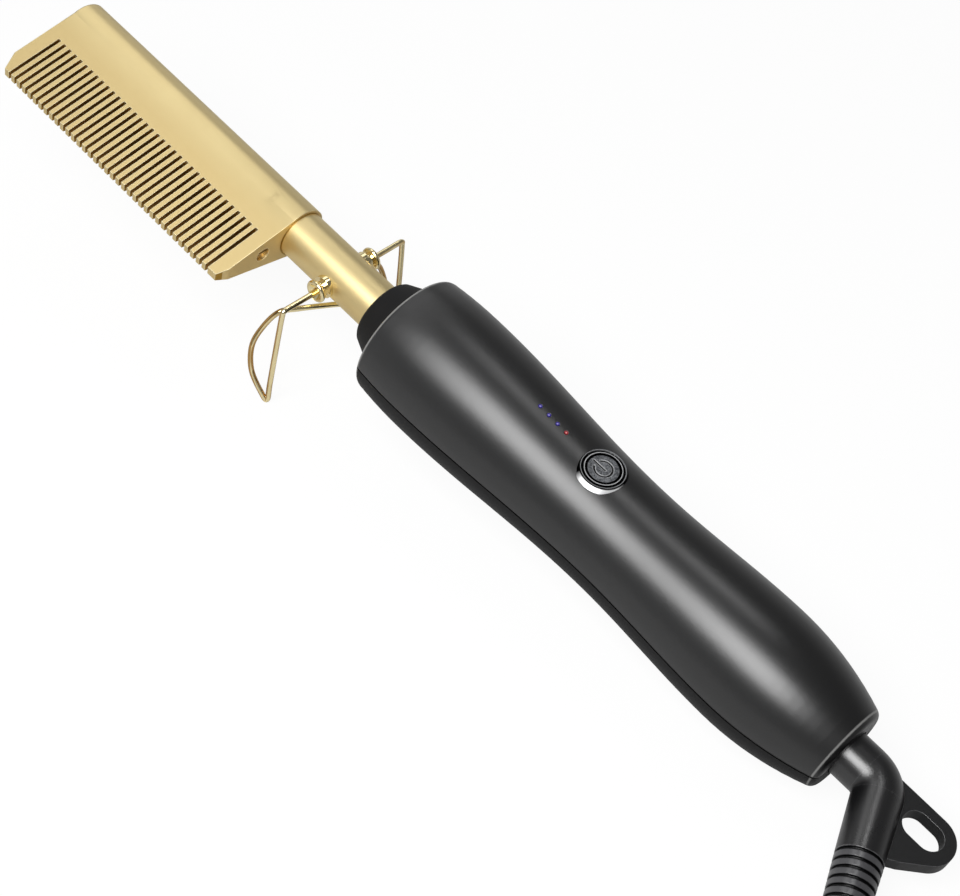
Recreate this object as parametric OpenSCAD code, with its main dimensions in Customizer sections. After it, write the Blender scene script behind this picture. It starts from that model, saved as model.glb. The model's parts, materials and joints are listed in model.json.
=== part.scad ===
// Electric hot comb: a heated comb head on a tube, a folding wire rest, and a moulded handle
// with a power button, four indicator lights and a cord elbow that swivels.
//
// The pieces are drawn in the tool's own axes: X runs along the tool from the comb's tip to the
// cord, the teeth point to -Y, the button faces +Z, and the wire rest's pivot is at X = 0.
// place() then lays the finished tool on its wire rest and the underside of its handle, with
// the floor at Z = 0.

/* [Comb head] */
// Length of the comb head along the tool
comb_length = 95.6; // [80:0.1:120]
// Distance from the comb head's rear face to the wire rest's pivot
comb_gap = 18; // [14:0.5:24]
// Radius of the round spine
spine_r = 7.9; // [7.8:0.1:10]
// Distance from the tool's axis at which the spine turns into the flat sides
spine_blend = 3; // [2:0.1:4]
// Reach of the teeth from the tool's axis
comb_reach = 29.2; // [24:0.1:36]
// Thickness of the teeth at their tips
tooth_tip_t = 2.5; // [1.6:0.1:3.5]
// Distance from the tool's axis to the roots of the slots
slot_root = 12.1; // [10:0.1:15]
// Distance from one slot to the next
slot_pitch = 2.45; // [2:0.05:4]
// Width of each slot between two teeth
slot_w = 1.05; // [0.6:0.05:1.6]
// Width of the solid guard at each end of the teeth
guard_w = 4.35; // [3.5:0.05:8]
// Corner cut of the tip guard along the tool
tip_cut_x = 2.6; // [1:0.1:3]
// Corner cut of the tip guard along the teeth
tip_cut_y = 5.2; // [2:0.1:8]
// Corner cut of the rear guard along the tool
rear_cut_x = 1.2; // [0.5:0.1:3]
// Corner cut of the rear guard along the teeth
rear_cut_y = 3.6; // [2:0.1:8]
// Distance from the tool's axis to the screw in the comb's rear face
comb_screw_y = 13.5; // [12:0.1:16]
// Radius of the screw in the comb's rear face
comb_screw_r = 2.1; // [1.5:0.1:2.4]
// Length of the screw in the comb's rear face
comb_screw_l = 2; // [1.5:0.1:2.6]
// Depth at which the screw sits in the comb's rear face
comb_screw_sunk = 0.8; // [0.3:0.1:1.2]

/* [Heater] */
// Radius of the heating cartridge
heater_r = 4.5; // [3.5:0.1:5]
// Distance from the comb head's tip to the front of the heating cartridge
heater_inset = 10.6; // [8:0.1:20]
// Radius of the temperature sensor's bead
sensor_r = 1.2; // [0.8:0.1:1.4]
// Length of the temperature sensor's bead
sensor_length = 5; // [3:0.5:8]
// Radius of each insulated wire inside the tool
wire_r = 0.8; // [0.6:0.05:1]
// Distance between the two heater wires
wire_gap = 3.4; // [2.6:0.1:4]
// Wall of the sleeve around the heater wires
sleeve_wall = 0.5; // [0.3:0.1:0.8]

/* [Tube] */
// Outer radius of the tube
tube_r = 7; // [6.6:0.1:7.2]
// Wall of the tube
tube_wall = 0.8; // [0.6:0.1:1.2]
// Depth to which the tube enters the comb head
tube_seat = 10; // [8:0.5:14]
// Length of the tube inside the handle
tube_tail = 28; // [24:0.5:34]

/* [Wire rest] */
// Thickness of the wire
rest_wire = 1.6; // [1.4:0.1:2]
// Distance from the tool's middle to the corner of each leg
rest_half = 22; // [19:0.5:25]
// Distance from the tool's middle to each foot
foot_half = 24.6; // [22:0.1:28]
// Drop from the pivot to each foot
foot_drop = 34.3; // [28:0.1:38]
// Distance of each foot behind the pivot
foot_back = 2.2; // [1:0.1:4]
// Distance by which the back wires bow toward the comb
bow = 7.3; // [5:0.1:8]
// Gap between the tube and the wire that crosses under it
cross_gap = 0.4; // [0.3:0.05:0.8]
// Radius of the pivot bush's flange on the tube
bush_flange_r = 3.2; // [2.8:0.1:3.8]
// Thickness of the pivot bush's flange
bush_flange_t = 0.8; // [0.6:0.1:1.2]
// Radius of the pivot bush's neck
bush_neck_r = 2; // [1.8:0.1:2.3]
// Radius of the rolled ring at the pivot bush's mouth
bush_ring_r = 3.3; // [2.9:0.1:3.8]
// Distance by which the pivot bush stands out of the tube
bush_out = 3.8; // [3.4:0.1:5]

/* [Collar] */
// Distance from the wire rest's pivot to the collar's front edge
collar_x = 16; // [14:0.5:18]
// Radius of the collar's front edge
collar_front_r = 10.2; // [9:0.1:11]
// Radius of the collar where it enters the handle
collar_rear_r = 14; // [13:0.1:14.8]
// Width of the flange that holds the collar inside the handle
collar_flange = 1.8; // [1.2:0.1:2]

/* [Handle] */
// Distance from the wire rest's pivot to the handle's front face
handle_x = 25.2; // [23:0.1:30]
// Length of the handle
handle_length = 158.2; // [150:0.2:180]
// Radius of the handle's front edge
handle_front_r = 18.4; // [17.5:0.1:18.8]
// Largest radius of the front bulge
front_bulge_r = 19.3; // [19:0.1:21]
// Distance from the handle's front face to the front bulge
front_bulge_at = 15; // [12:0.5:18]
// Radius of the waist
waist_r = 16.1; // [15.8:0.1:17.5]
// Distance from the handle's front face to the waist
waist_at = 82; // [78:0.5:86]
// Largest radius of the rear bulge
rear_bulge_r = 17.9; // [17.5:0.1:19]
// Distance from the handle's rear end to the rear bulge
rear_bulge_at = 31.4; // [30:0.2:36]
// Radius of the arc that closes the rear bulge
rear_arc_r = 86; // [80:1:120]
// Rounding of the handle's rear edge
rear_round = 2.6; // [1.5:0.1:3.5]
// Rounding of the handle's front edge
front_round = 0.8; // [0.5:0.1:1.2]
// Wall of the handle's shells
shell_wall = 2.2; // [1.8:0.1:2.4]
// Thickness of the handle's end walls
end_wall = 2.8; // [2.4:0.1:3.2]
// Width of the seam between the two shells
seam = 0.24; // [0.1:0.02:0.4]

/* [Controls] */
// Distance from the wire rest's pivot to the button's centre
button_x = 94.1; // [92:0.1:97]
// Radius of the button's cap
cap_r = 4.35; // [4:0.05:4.6]
// Travel of the button
travel = 0.6; // [0.4:0.05:0.8]
// Radius of the lip that holds the button's cap under its bezel
cap_lip_r = 5.2; // [5:0.05:5.5]
// Gap around the button's cap
cap_gap = 0.35; // [0.3:0.05:0.5]
// Radius of the bezel's bright inner ring
bright_ring_r = 5.35; // [5.2:0.05:5.5]
// Radius of the bezel's rim
bezel_r = 6.1; // [6:0.1:6.5]
// Radius of the bezel's sloping foot on the handle
bezel_foot_r = 7; // [6.8:0.1:7.6]
// Height of the bezel over the crown of the handle
bezel_out = 0.5; // [0.3:0.05:0.8]
// Radius of each indicator light
lens_r = 0.55; // [0.4:0.05:0.8]
// Distance between two indicator lights
lens_pitch = 3.2; // [2.8:0.1:4]
// Distance from the button's centre to the nearest indicator light
lens_first = 13.4; // [12:0.1:15]
// Number of blue indicator lights, before the red one
blue_count = 3; // [1:1:4]

/* [Circuit board] */
// Length of the circuit board
board_length = 62; // [58:1:66]
// Width of the circuit board
board_width = 19; // [16:0.5:20]
// Thickness of the circuit board
board_t = 1.6; // [1:0.1:2]
// Height of the circuit board's top over the tool's axis
board_top = 7; // [6:0.1:7.5]
// Width of the switch under the button
switch_w = 6; // [5:0.1:7]
// Height of the switch's housing
switch_h = 3.4; // [3:0.1:4]
// Radius of the switch's plunger
plunger_r = 1.75; // [1.2:0.05:2]

/* [Cord elbow] */
// Radius of the elbow's straight stem
elbow_r = 6.4; // [6.2:0.1:6.8]
// Distance from the handle's rear face to the elbow's corner
elbow_corner = 11; // [9:0.1:13]
// Angle through which the elbow turns the cord
elbow_turn = 65.5; // [50:0.5:75]
// Radius of the elbow's bend along its middle
elbow_bend_r = 7.2; // [7:0.1:9]
// Distance from the elbow's corner to the first rib
rib_start = 21.6; // [20:0.1:26]
// Radius of the elbow at the first rib
rib_r = 6; // [5.7:0.05:6.4]
// Radius of the elbow's end around the cord
rib_end_r = 4.9; // [4.4:0.05:5.2]
// Number of grooves in the strain relief
rib_count = 13; // [8:1:16]
// Distance from one groove to the next
rib_pitch = 2.5; // [2.2:0.1:3]
// Width of each groove
groove_w = 1; // [0.6:0.1:1.4]
// Depth of each groove
groove_d = 0.7; // [0.4:0.1:0.9]
// Thickness of the hanging tab
tab_t = 4; // [3:0.1:5]
// Distance from the elbow's corner to the middle of the tab's round end
tab_reach = 16.6; // [16:0.1:20]
// Distance by which the tab's round end lies to the cord's side of the tool's axis
tab_drop = 3.2; // [2.4:0.1:4]
// Radius of the tab's round end
tab_r = 7.1; // [6.8:0.1:7.6]
// Length of the slot in the tab
tab_slot_l = 11.4; // [9:0.1:12]
// Width of the slot in the tab
tab_slot_w = 7.4; // [5:0.1:8]
// Rim of the tab beyond the end of its slot
tab_end_rim = 3.4; // [2.8:0.1:4.4]
// Rim of the tab along its slot
tab_side_rim = 2.8; // [2.4:0.1:3.6]
// Radius of the spigot that turns in the swivel socket
spigot_r = 4.5; // [3.5:0.1:5]
// Length of the spigot
spigot_length = 10; // [8:0.5:12]

/* [Cord] */
// Radius of the cord
cord_r = 3; // [2.5:0.1:3.4]
// Radius of the coil to the middle of its turns
coil_r = 33; // [30:0.5:36]
// Number of turns side by side in the coil
coil_wide = 3; // [2:1:4]
// Number of turns over each other in the coil
coil_high = 3; // [2:1:3]
// Length of the plug's body
plug_length = 30; // [24:1:40]
// Width of the plug's body
plug_width = 20; // [18:0.5:26]
// Thickness of the plug's body
plug_t = 13; // [11:0.5:18]
// Distance between the middles of the plug's two blades
blade_gap = 12.7; // [12:0.1:13]
// Length of the plug's blades
blade_length = 16; // [14:0.5:18]
// Width of the plug's blades
blade_w = 6.4; // [6:0.1:6.6]
// Thickness of the plug's blades
blade_t = 1.5; // [1.3:0.1:1.6]

/* [Fits] */
// Gap around a piece that is fixed in a hole
fit = 0.05; // [0.02:0.01:0.1]
// Gap around a shaft that turns in a hole
running = 0.08; // [0.04:0.01:0.1]
// Gap between pieces that move past each other
free = 0.35; // [0.3:0.05:0.6]

/* [Hidden] */

$fn = 64;
eps = 0.01;

gold = "goldenrod";
black = "dimgray";

// ---- The comb head ----
comb_rear_x = -comb_gap;
comb_tip_x = comb_rear_x - comb_length;
slot_count = 1 + floor((comb_length - 2 * guard_w - slot_w) / slot_pitch);
last_slot_x = comb_rear_x - guard_w - slot_w / 2;
// The flat sides start just inside the spine's surface, so that they cross it cleanly
side_start_z = sqrt(spine_r * spine_r - spine_blend * spine_blend) - 0.07;
comb_screw_x = comb_rear_x - comb_screw_sunk - comb_screw_l;
heater_front_x = comb_tip_x + heater_inset;
heater_rear_x = comb_rear_x - tube_seat - 1;
sensor_x = heater_front_x - 0.2;
wire_y = wire_gap / 2;
sleeve_r = wire_y + wire_r + fit + sleeve_wall;

// ---- The tube and the handle ----
handle_end_x = handle_x + handle_length;
waist_x = handle_x + waist_at;
front_bulge_x = handle_x + front_bulge_at;
rear_bulge_x = handle_end_x - rear_bulge_at;
tube_end_x = handle_x + tube_tail;
cavity_x = handle_x + end_wall;
cavity_end_x = handle_end_x - end_wall;
holder_t = 6;
holder_bore = tube_r + 5;
holder_x = tube_end_x - holder_t - 4;
rib_t = 1.6;

// ---- The wire rest ----
rest_r = rest_wire / 2;
bush_end = tube_r + bush_out;
pin_in = tube_r - tube_wall - 1;
cross_z = tube_r + cross_gap + rest_r;

// The wire's line on the tool's -Y side, from the pivot pin to the middle of the cross wire
rest_side = [
    [0, -rest_half + 4, 0],
    [0, -rest_half + 1.6, 0],
    [0.05, -rest_half + 0.3, -0.35],
    [0.1, -rest_half, -1.7],
    [foot_back * 0.3, -rest_half - (foot_half - rest_half) * 0.3, -foot_drop * 0.3],
    [foot_back * 0.8, -foot_half + (foot_half - rest_half) * 0.2, -foot_drop * 0.8],
    [foot_back, -foot_half, -foot_drop],
    [0.2, -foot_half - 0.7, -foot_drop + 1.7],
    [-bow * 0.6, -foot_half - 1, -foot_drop * 0.79],
    [-bow * 0.95, -foot_half + 0.4, -foot_drop * 0.59],
    [-bow, -rest_half + 1, -foot_drop * 0.44],
    [-bow * 0.78, -rest_half + 4.8, -cross_z - 1.2],
    [-bow * 0.4, -rest_half + 9.4, -cross_z],
    [1.2, -4.4, -cross_z],
    [2.6, -1.6, -cross_z]];
rest_line = concat(rest_side, [for (i = [len(rest_side) - 1 : -1 : 0])
    [rest_side[i][0], -rest_side[i][1], rest_side[i][2]]]);
rest_wire_points = spline(rest_line, 4);

// ---- The controls ----
bezel_top = handle_radius(button_x) + bezel_out;
bezel_bottom = handle_radius(button_x) - shell_wall - 1.6;
cap_top = bezel_top - 0.1;
cap_lip_t = 0.5;
bezel_body_r = bezel_r - 0.2;
cap_bottom = bezel_bottom - free - cap_lip_t;
switch_top = board_top + switch_h;
plunger_top = switch_top + 1;
lens_last_x = button_x - lens_first;
board_x = button_x - board_length / 2;
resistor_size = [10, 4.5, 3.6];
chip_size = [7, 7, 1.6];
transformer_size = [15, 12, 4];
triac_size = [5, 10, 4];
diode_size = [4, 2.5, 1];
capacitor_r = 3;
capacitor_h = 5.5;
led_size = [1.6, 1, 0.8];
terminal_size = [9, 9, board_top - board_t + 2.5];
terminal_x = board_x + 8;
fuse_r = 2;
fuse_length = 14;
fuse_x = terminal_x + 12;
fuse_z = -5.5;
post_y = board_width / 2 - 2.4;
post_r = 2.2;
post_screw_r = 1;
post_screw_l = 6;
post_head_r = 1.9;
post_head_t = 1.3;
shell_screw_r = 1.25;
shell_screw_l = 13;
shell_screw_seat = 6;
shell_head_t = 1.8;
shell_screw_x = [board_x - 5.4, handle_end_x - 34];
shell_screw_y = [10.5, 9.5];
boss_r = 2.8;
head_r = 2.3;

// ---- The cord elbow ----
corner_x = handle_end_x + elbow_corner;
bend_tangent = elbow_bend_r * tan(elbow_turn / 2);
tab_slot_x = tab_reach + tab_r - tab_end_rim - tab_slot_l / 2;
tab_slot_y = tab_r - tab_drop - tab_side_rim - tab_slot_w / 2;
relief_length = rib_count * rib_pitch + 1.5;
elbow_end = rib_start + relief_length;
flange_t = 3;
flange_x = cavity_end_x - free - flange_t;
socket_x = flange_x - free - spigot_length;
socket_r = 12;
contact_at = [4, 7];
contact_w = 1.6;
contact_r = spigot_r + 1.3;
cord_seat = 12;

// ---- The floor ----
// The floor touches the feet of the wire rest and the arc under the rear bulge.
arc_centre = [rear_bulge_x, rear_arc_r - rear_bulge_r];
tilt = max([for (p = rest_wire_points) floor_tilt(arc_centre - [p[0], p[2]])]);
lift = rest_r + max([for (p = rest_wire_points) p[0] * sin(tilt) - p[2] * cos(tilt)]);
function floor_tilt(way) = atan2(way[1], way[0]) - asin((rear_arc_r - rest_r) / norm(way));
// Where the pivot stands over the floor, so that the object's middle is over the origin
pivot_place = [-53.3, 13.1];

module place()
{
    translate([pivot_place[0], pivot_place[1], lift])
        rotate([0, tilt, 0])
            children();
}

// Where a point of the tool's own axes ends up after place()
function placed(p) = [
    pivot_place[0] + p[0] * cos(tilt) + p[2] * sin(tilt),
    pivot_place[1] + p[1],
    lift - p[0] * sin(tilt) + p[2] * cos(tilt)];

// A point at a distance past the elbow's corner, along the strain relief
function relief_point(way) = [corner_x + way * cos(elbow_turn), -way * sin(elbow_turn), 0];

// ---- The cord's route over the floor, from the strain relief to the coil ----
coil_at = [214, -30];
coil_height = 2 * cord_r * coil_high;
coil_band = coil_wide * cord_r;
join_angle = -100;
lead_points = concat([for (way = [-cord_seat, 0, 5]) placed(relief_point(elbow_end + way))],
    [[170.4, -49, 8.6], [181, -58.1, 5.6], [193.6, -64.6, 3.6],
        round_point(coil_at, coil_r + coil_band - cord_r, join_angle, cord_r)]);

// The tail climbs out of the coil's inner turn and runs over the coil into the plug on top
tail_centre = coil_at + [2, -8];
tail_r = 28;
tail_z = coil_height + cord_r;
blade_x = plug_length - 6;
plug_at = round_point(tail_centre, tail_r, 0, coil_height + plug_t / 2);
plug_angle = 90;
tail_points = concat(
    [round_point(coil_at, coil_r - coil_band + cord_r, 150, tail_z - 3.9),
        round_point(coil_at, coil_r - coil_band + cord_r, 172, tail_z - 0.8)],
    [for (a = [-165 : 25 : -65]) round_point(tail_centre, tail_r, a, tail_z)],
    [round_point(tail_centre, tail_r, -42, tail_z + 0.5),
        round_point(tail_centre, tail_r, -20, plug_at[2] - 1.1), plug_at]);

// ================= Shapes and functions =================

function unit(v) = v / norm(v);

// A point on a level circle
function round_point(centre, r, angle, z) = [centre[0] + r * cos(angle), centre[1] + r * sin(angle), z];

// Radius of the handle's outside at a distance along the tool
function handle_radius(x) =
    x < front_bulge_x
        ? front_bulge_r - (front_bulge_r - handle_front_r)
            * pow((front_bulge_x - x) / front_bulge_at, 2)
    : x < waist_x
        ? wave(front_bulge_r, waist_r, (x - front_bulge_x) / (waist_x - front_bulge_x))
    : x < rear_bulge_x
        ? wave(waist_r, rear_bulge_r, (x - waist_x) / (rear_bulge_x - waist_x))
    : rear_bulge_r - rear_arc_r + sqrt(pow(rear_arc_r, 2) - pow(x - rear_bulge_x, 2));

// A smooth change from a to b as t goes from 0 to 1
function wave(a, b, t) = a + (b - a) * (1 - cos(180 * t)) / 2;

// The handle's long outline, as [radius, distance] points without the rounded edges
function handle_line(inset, from, to, step) =
    [for (x = [from : (to - from) / ceil((to - from) / step) : to + eps / 10])
        [handle_radius(x) - inset, x]];

// Points of an arc around a centre
function arc(centre, r, a0, a1, steps) =
    [for (i = [0 : steps])
        centre + r * [cos(a0 + (a1 - a0) * i / steps), sin(a0 + (a1 - a0) * i / steps)]];

// Turns a flat outline of [radius, distance] points around the tool's axis
module around_axis()
{
    rotate([0, 90, 0])
        rotate_extrude($fn = 96)
            children();
}

// A cylinder along the tool's axis
module rod(r, x0, x1, y = 0, z = 0)
{
    translate([x0, y, z])
        rotate([0, 90, 0])
            cylinder(r = r, h = x1 - x0);
}

// A ring around the tool's axis
module ring(r_in, r_out, x0, x1)
{
    difference() {
        rod(r_out, x0, x1);
        rod(r_in, x0 - 1, x1 + 1);
    }
}

// A pan-head screw that stands along +Z, with its head's underside at Z = 0
module screw(r, length, head_r, head_t)
{
    translate([0, 0, -eps])
        cylinder(r = r, h = length + eps);
    translate([0, 0, -head_t])
        difference() {
            cylinder(r = head_r, h = head_t);
            translate([0, 0, -eps])
                for (a = [0, 90])
                    rotate(a)
                        translate([-head_r * 0.6, -head_r * 0.12, 0])
                            cube([head_r * 1.2, head_r * 0.24, head_t / 2]);
        }
}

// A smooth line through hand-placed points
function spline(p, steps) = [
    for (i = [0 : len(p) - 2])
        for (s = [0 : steps - 1])
            spline_point(p[max(i - 1, 0)], p[i], p[i + 1], p[min(i + 2, len(p) - 1)], s / steps),
    p[len(p) - 1]];
function spline_point(a, b, c, d, t) =
    0.5 * (2 * b + (c - a) * t + (2 * a - 5 * b + 4 * c - d) * t * t
        + (3 * b - a - 3 * c + d) * t * t * t);

function tangents(p) = [for (i = [0 : len(p) - 1])
    unit(p[min(i + 1, len(p) - 1)] - p[max(i - 1, 0)])];
function upright(n, t) = unit(n - t * (n * t));
function sides_of(t, first) = [
    for (i = 0, n = upright(first, t[0]); i < len(t);
        n = i + 1 < len(t) ? upright(n, t[i + 1]) : n, i = i + 1) n];

// A round bar along a line of points
module swept(p, r, sides, first = [0, 0, 1])
{
    t = tangents(p);
    n = sides_of(t, first);
    last = len(p) - 1;
    corners = [for (i = [0 : last]) for (j = [0 : sides - 1])
        p[i] + r * (cos(360 * j / sides) * n[i] + sin(360 * j / sides) * cross(t[i], n[i]))];
    walls = [for (i = [0 : last - 1]) for (j = [0 : sides - 1])
        let (a = i * sides + j, b = i * sides + (j + 1) % sides)
            each [[a, a + sides, b + sides], [a, b + sides, b]]];
    caps = [[for (j = [0 : sides - 1]) j], [for (j = [sides - 1 : -1 : 0]) last * sides + j]];
    polyhedron(points = corners, faces = concat(walls, caps), convexity = 6);
}

// ================= Comb head =================

// Section of the comb across the tool, as [Y, Z]
module comb_section()
{
    circle(r = spine_r);
    polygon([[-spine_blend, side_start_z], [-comb_reach, tooth_tip_t / 2],
        [-comb_reach, -tooth_tip_t / 2], [-spine_blend, -side_start_z]]);
}

// A corner cut through one of the comb's guards, which lies on the side of x that way says
module corner_cut(x, way, cut_x, cut_y)
{
    translate([0, 0, -spine_r])
        linear_extrude(height = 2 * spine_r)
            polygon([[x - way, -comb_reach - 1], [x - way, -comb_reach + cut_y],
                [x, -comb_reach + cut_y], [x + way * cut_x, -comb_reach],
                [x + way * cut_x, -comb_reach - 1]]);
}

module comb_head()
{
    color(gold)
        place()
            difference() {
                translate([comb_tip_x, 0, 0])
                    rotate([90, 0, 90])
                        linear_extrude(height = comb_length)
                            comb_section();
                for (i = [0 : slot_count - 1])
                    translate([last_slot_x - i * slot_pitch - slot_w / 2, -comb_reach - 1, -spine_r])
                        cube([slot_w, comb_reach + 1 - slot_root, 2 * spine_r]);
                corner_cut(comb_tip_x, 1, tip_cut_x, tip_cut_y);
                corner_cut(comb_rear_x, -1, rear_cut_x, rear_cut_y);
                rod(heater_r + fit, sensor_x - sensor_length - 1, 0);
                rod(tube_r + fit, comb_rear_x - tube_seat, 0);
                rod(comb_screw_r + fit, comb_screw_x, 0, -comb_screw_y);
            }
}

module comb_screw()
{
    slot_depth = comb_screw_l * 0.4;
    color(gold)
        place()
            translate([comb_screw_x, -comb_screw_y, 0])
                difference() {
                    rod(comb_screw_r, 0, comb_screw_l);
                    translate([comb_screw_l - slot_depth, -comb_screw_r - 1, -0.3])
                        cube([slot_depth + 1, 2 * comb_screw_r + 2, 0.6]);
                }
}

module heating_cartridge()
{
    color("silver")
        place()
            rod(heater_r, heater_front_x, heater_rear_x);
}

module temperature_sensor()
{
    color("tan")
        place() {
            rod(sensor_r, sensor_x - sensor_length, sensor_x);
            rod(heater_r, sensor_x - 1, sensor_x);
        }
}

module heater_wires()
{
    color("white")
        place()
            for (y = [-wire_y, wire_y])
                rod(wire_r, heater_rear_x, terminal_x + 2, y);
}

module wire_sleeve()
{
    color("ivory")
        place()
            difference() {
                rod(sleeve_r, comb_rear_x - tube_seat + 1, tube_end_x + 2);
                for (y = [-wire_y, wire_y])
                    rod(wire_r + fit, comb_rear_x - tube_seat, tube_end_x + 3, y);
            }
}

// ================= Tube and wire rest =================

module tube()
{
    color(gold)
        place()
            difference() {
                ring(tube_r - tube_wall, tube_r, comb_rear_x - tube_seat, tube_end_x);
                for (a = [90, -90])
                    rotate([a, 0, 0])
                        cylinder(r = bush_neck_r + fit, h = tube_r + 1);
            }
}

// One bush, along +Z from the tool's axis
module pivot_bush()
{
    ring_thick = 0.7;
    difference() {
        union() {
            translate([0, 0, pin_in + 0.4])
                cylinder(r = bush_neck_r, h = bush_end - ring_thick - pin_in - 0.4);
            difference() {
                cylinder(r = bush_flange_r, h = tube_r + bush_flange_t);
                rotate([0, 90, 0])
                    cylinder(r = tube_r + fit / 2, h = 4 * tube_r, center = true);
            }
            translate([0, 0, bush_end - 2 * ring_thick])
                cylinder(r = bush_ring_r - ring_thick, h = 2 * ring_thick);
            translate([0, 0, bush_end - ring_thick])
                rotate_extrude()
                    translate([bush_ring_r - ring_thick, 0])
                        circle(r = ring_thick, $fn = 32);
        }
        cylinder(r = rest_r + free, h = bush_end + 1);
        translate([0, 0, bush_end - 1.6])
            cylinder(r1 = rest_r + free - eps, r2 = bush_ring_r - ring_thick - 0.2, h = 1.6 + eps);
    }
}

module pivot_bushes()
{
    color(gold)
        place()
            for (a = [90, -90])
                rotate([a, 0, 0])
                    pivot_bush();
}

module wire_rest()
{
    color(gold)
        place() {
            swept(rest_wire_points, rest_r - eps, 12, [1, 0, 0]);
            for (a = [90, -90])
                rotate([a, 0, 0])
                    translate([0, 0, pin_in])
                        cylinder(r = rest_r, h = rest_half - 3.5 - pin_in);
        }
}

// ================= Handle =================

module collar()
{
    flange_r = collar_rear_r + collar_flange;
    flange_w = 2.2;
    edge = 0.6;
    color(black)
        place()
            around_axis()
                polygon([[tube_r + fit, collar_x], [collar_front_r - edge, collar_x],
                    [collar_front_r, collar_x + edge], [collar_rear_r, handle_x],
                    [collar_rear_r, cavity_x + fit], [flange_r, cavity_x + fit],
                    [flange_r, cavity_x + flange_w], [tube_r + fit, cavity_x + flange_w]]);
}

module tube_holder()
{
    color("peru")
        place()
            difference() {
                rod(handle_radius(holder_x) - shell_wall - 0.6, holder_x, holder_x + holder_t);
                rod(tube_r + fit, holder_x - 1, holder_x + holder_t + 1);
            }
}

// The handle's whole outside, as one turned solid
module handle_outside(grow = 0)
{
    inner_r = rear_arc_r - rear_round;
    angle = asin((handle_end_x - rear_round - rear_bulge_x) / inner_r);
    round_centre = [rear_bulge_r - rear_arc_r + inner_r * cos(angle), handle_end_x - rear_round];
    round_x = rear_bulge_x + rear_arc_r * sin(angle);
    around_axis()
        polygon(concat(
            [[0, handle_x], [handle_front_r - front_round, handle_x]],
            arc([handle_front_r - front_round, handle_x + front_round], front_round + grow,
                -60, -15, 3),
            handle_line(-grow, handle_x + 1.4 * front_round, round_x, 3),
            arc(round_centre, rear_round + grow, angle + 12, 90, 6),
            [[0, handle_end_x + grow]]));
}

module handle_cavity()
{
    around_axis()
        polygon(concat(
            [[0, cavity_x]],
            handle_line(shell_wall, cavity_x, cavity_end_x, 3),
            [[0, cavity_end_x]]));
}

// One half of the handle: side is 1 for the button's half and -1 for the other
module handle_half(side)
{
    reach = 2 * front_bulge_r;
    span = handle_length + 2;
    intersection() {
        difference() {
            union() {
                difference() {
                    handle_outside();
                    handle_cavity();
                }
                intersection() {
                    handle_cavity();
                    handle_ribs();
                }
            }
            rod(collar_rear_r + fit, handle_x - 1, cavity_x + 1);
            rod(elbow_r + free, cavity_end_x - 1, handle_end_x + 1);
        }
        translate([handle_x - 1, -reach / 2, side > 0 ? seam / 2 : -reach - seam / 2])
            cube([span, reach, reach]);
    }
}

// Ribs that hold the tube's holder and the swivel socket
module handle_ribs()
{
    bore = holder_x - rib_t - fit;
    ring(holder_bore, 2 * front_bulge_r, bore, bore + rib_t);
    ring(holder_bore, 2 * front_bulge_r, holder_x + holder_t + fit, holder_x + holder_t + fit + rib_t);
    ring(socket_r - 3, 2 * front_bulge_r, socket_x - rib_t - fit, socket_x - fit);
    ring(socket_r + fit, 2 * front_bulge_r, socket_x - fit, socket_x + 4);
}

// Where the shells' screws stand
module at_shell_screws()
{
    for (i = [0, 1])
        for (s = [-1, 1])
            translate([shell_screw_x[i], s * shell_screw_y[i], 0])
                children();
}

// Where the circuit board's screws stand
module at_board_screws()
{
    for (x = [board_x + 3, board_x + board_length - 3])
        for (s = [-1, 1])
            translate([x, s * post_y, 0])
                children();
}

module handle_top_shell()
{
    color(black)
        place()
            difference() {
                union() {
                    handle_half(1);
                    intersection() {
                        handle_cavity();
                        union() {
                            at_shell_screws()
                                translate([0, 0, seam / 2])
                                    cylinder(r = boss_r, h = front_bulge_r);
                            at_board_screws()
                                translate([0, 0, board_top])
                                    cylinder(r = post_r, h = front_bulge_r);
                        }
                    }
                }
                at_shell_screws()
                    translate([0, 0, -1])
                        cylinder(r = shell_screw_r + fit, h = shell_screw_l - shell_screw_seat + 2);
                at_board_screws()
                    translate([0, 0, board_top - 1])
                        cylinder(r = post_screw_r + fit, h = post_screw_l);
                translate([button_x, 0, board_top])
                    cylinder(r = bezel_body_r + fit, h = front_bulge_r);
                at_lenses(blue_count + 1)
                    cylinder(r = lens_r + fit, h = 2 * front_bulge_r);
            }
}

module handle_bottom_shell()
{
    color(black)
        place()
            difference() {
                union() {
                    handle_half(-1);
                    intersection() {
                        handle_cavity();
                        at_shell_screws()
                            translate([0, 0, -front_bulge_r])
                                cylinder(r = boss_r, h = front_bulge_r - seam / 2);
                    }
                    intersection() {
                        handle_cavity();
                        fuse_cradle();
                    }
                }
                at_shell_screws() {
                    translate([0, 0, -front_bulge_r])
                        cylinder(r = shell_screw_r + 0.2, h = front_bulge_r + 1);
                    translate([0, 0, -2 * front_bulge_r - shell_screw_seat])
                        cylinder(r = head_r + 0.2, h = 2 * front_bulge_r);
                }
            }
}

module shell_screws()
{
    color("silver")
        place()
            at_shell_screws()
                translate([0, 0, -shell_screw_seat])
                    screw(shell_screw_r, shell_screw_l, head_r, shell_head_t);
}

// ================= Electronics =================

module circuit_board()
{
    color("darkgreen")
        place()
            difference() {
                translate([board_x, -board_width / 2, board_top - board_t])
                    cube([board_length, board_width, board_t]);
                at_board_screws()
                    cylinder(r = post_screw_r + fit, h = 2 * board_top);
            }
}

module board_screws()
{
    color("silver")
        place()
            at_board_screws()
                translate([0, 0, board_top - board_t])
                    screw(post_screw_r, post_screw_l, post_head_r, post_head_t);
}

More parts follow.
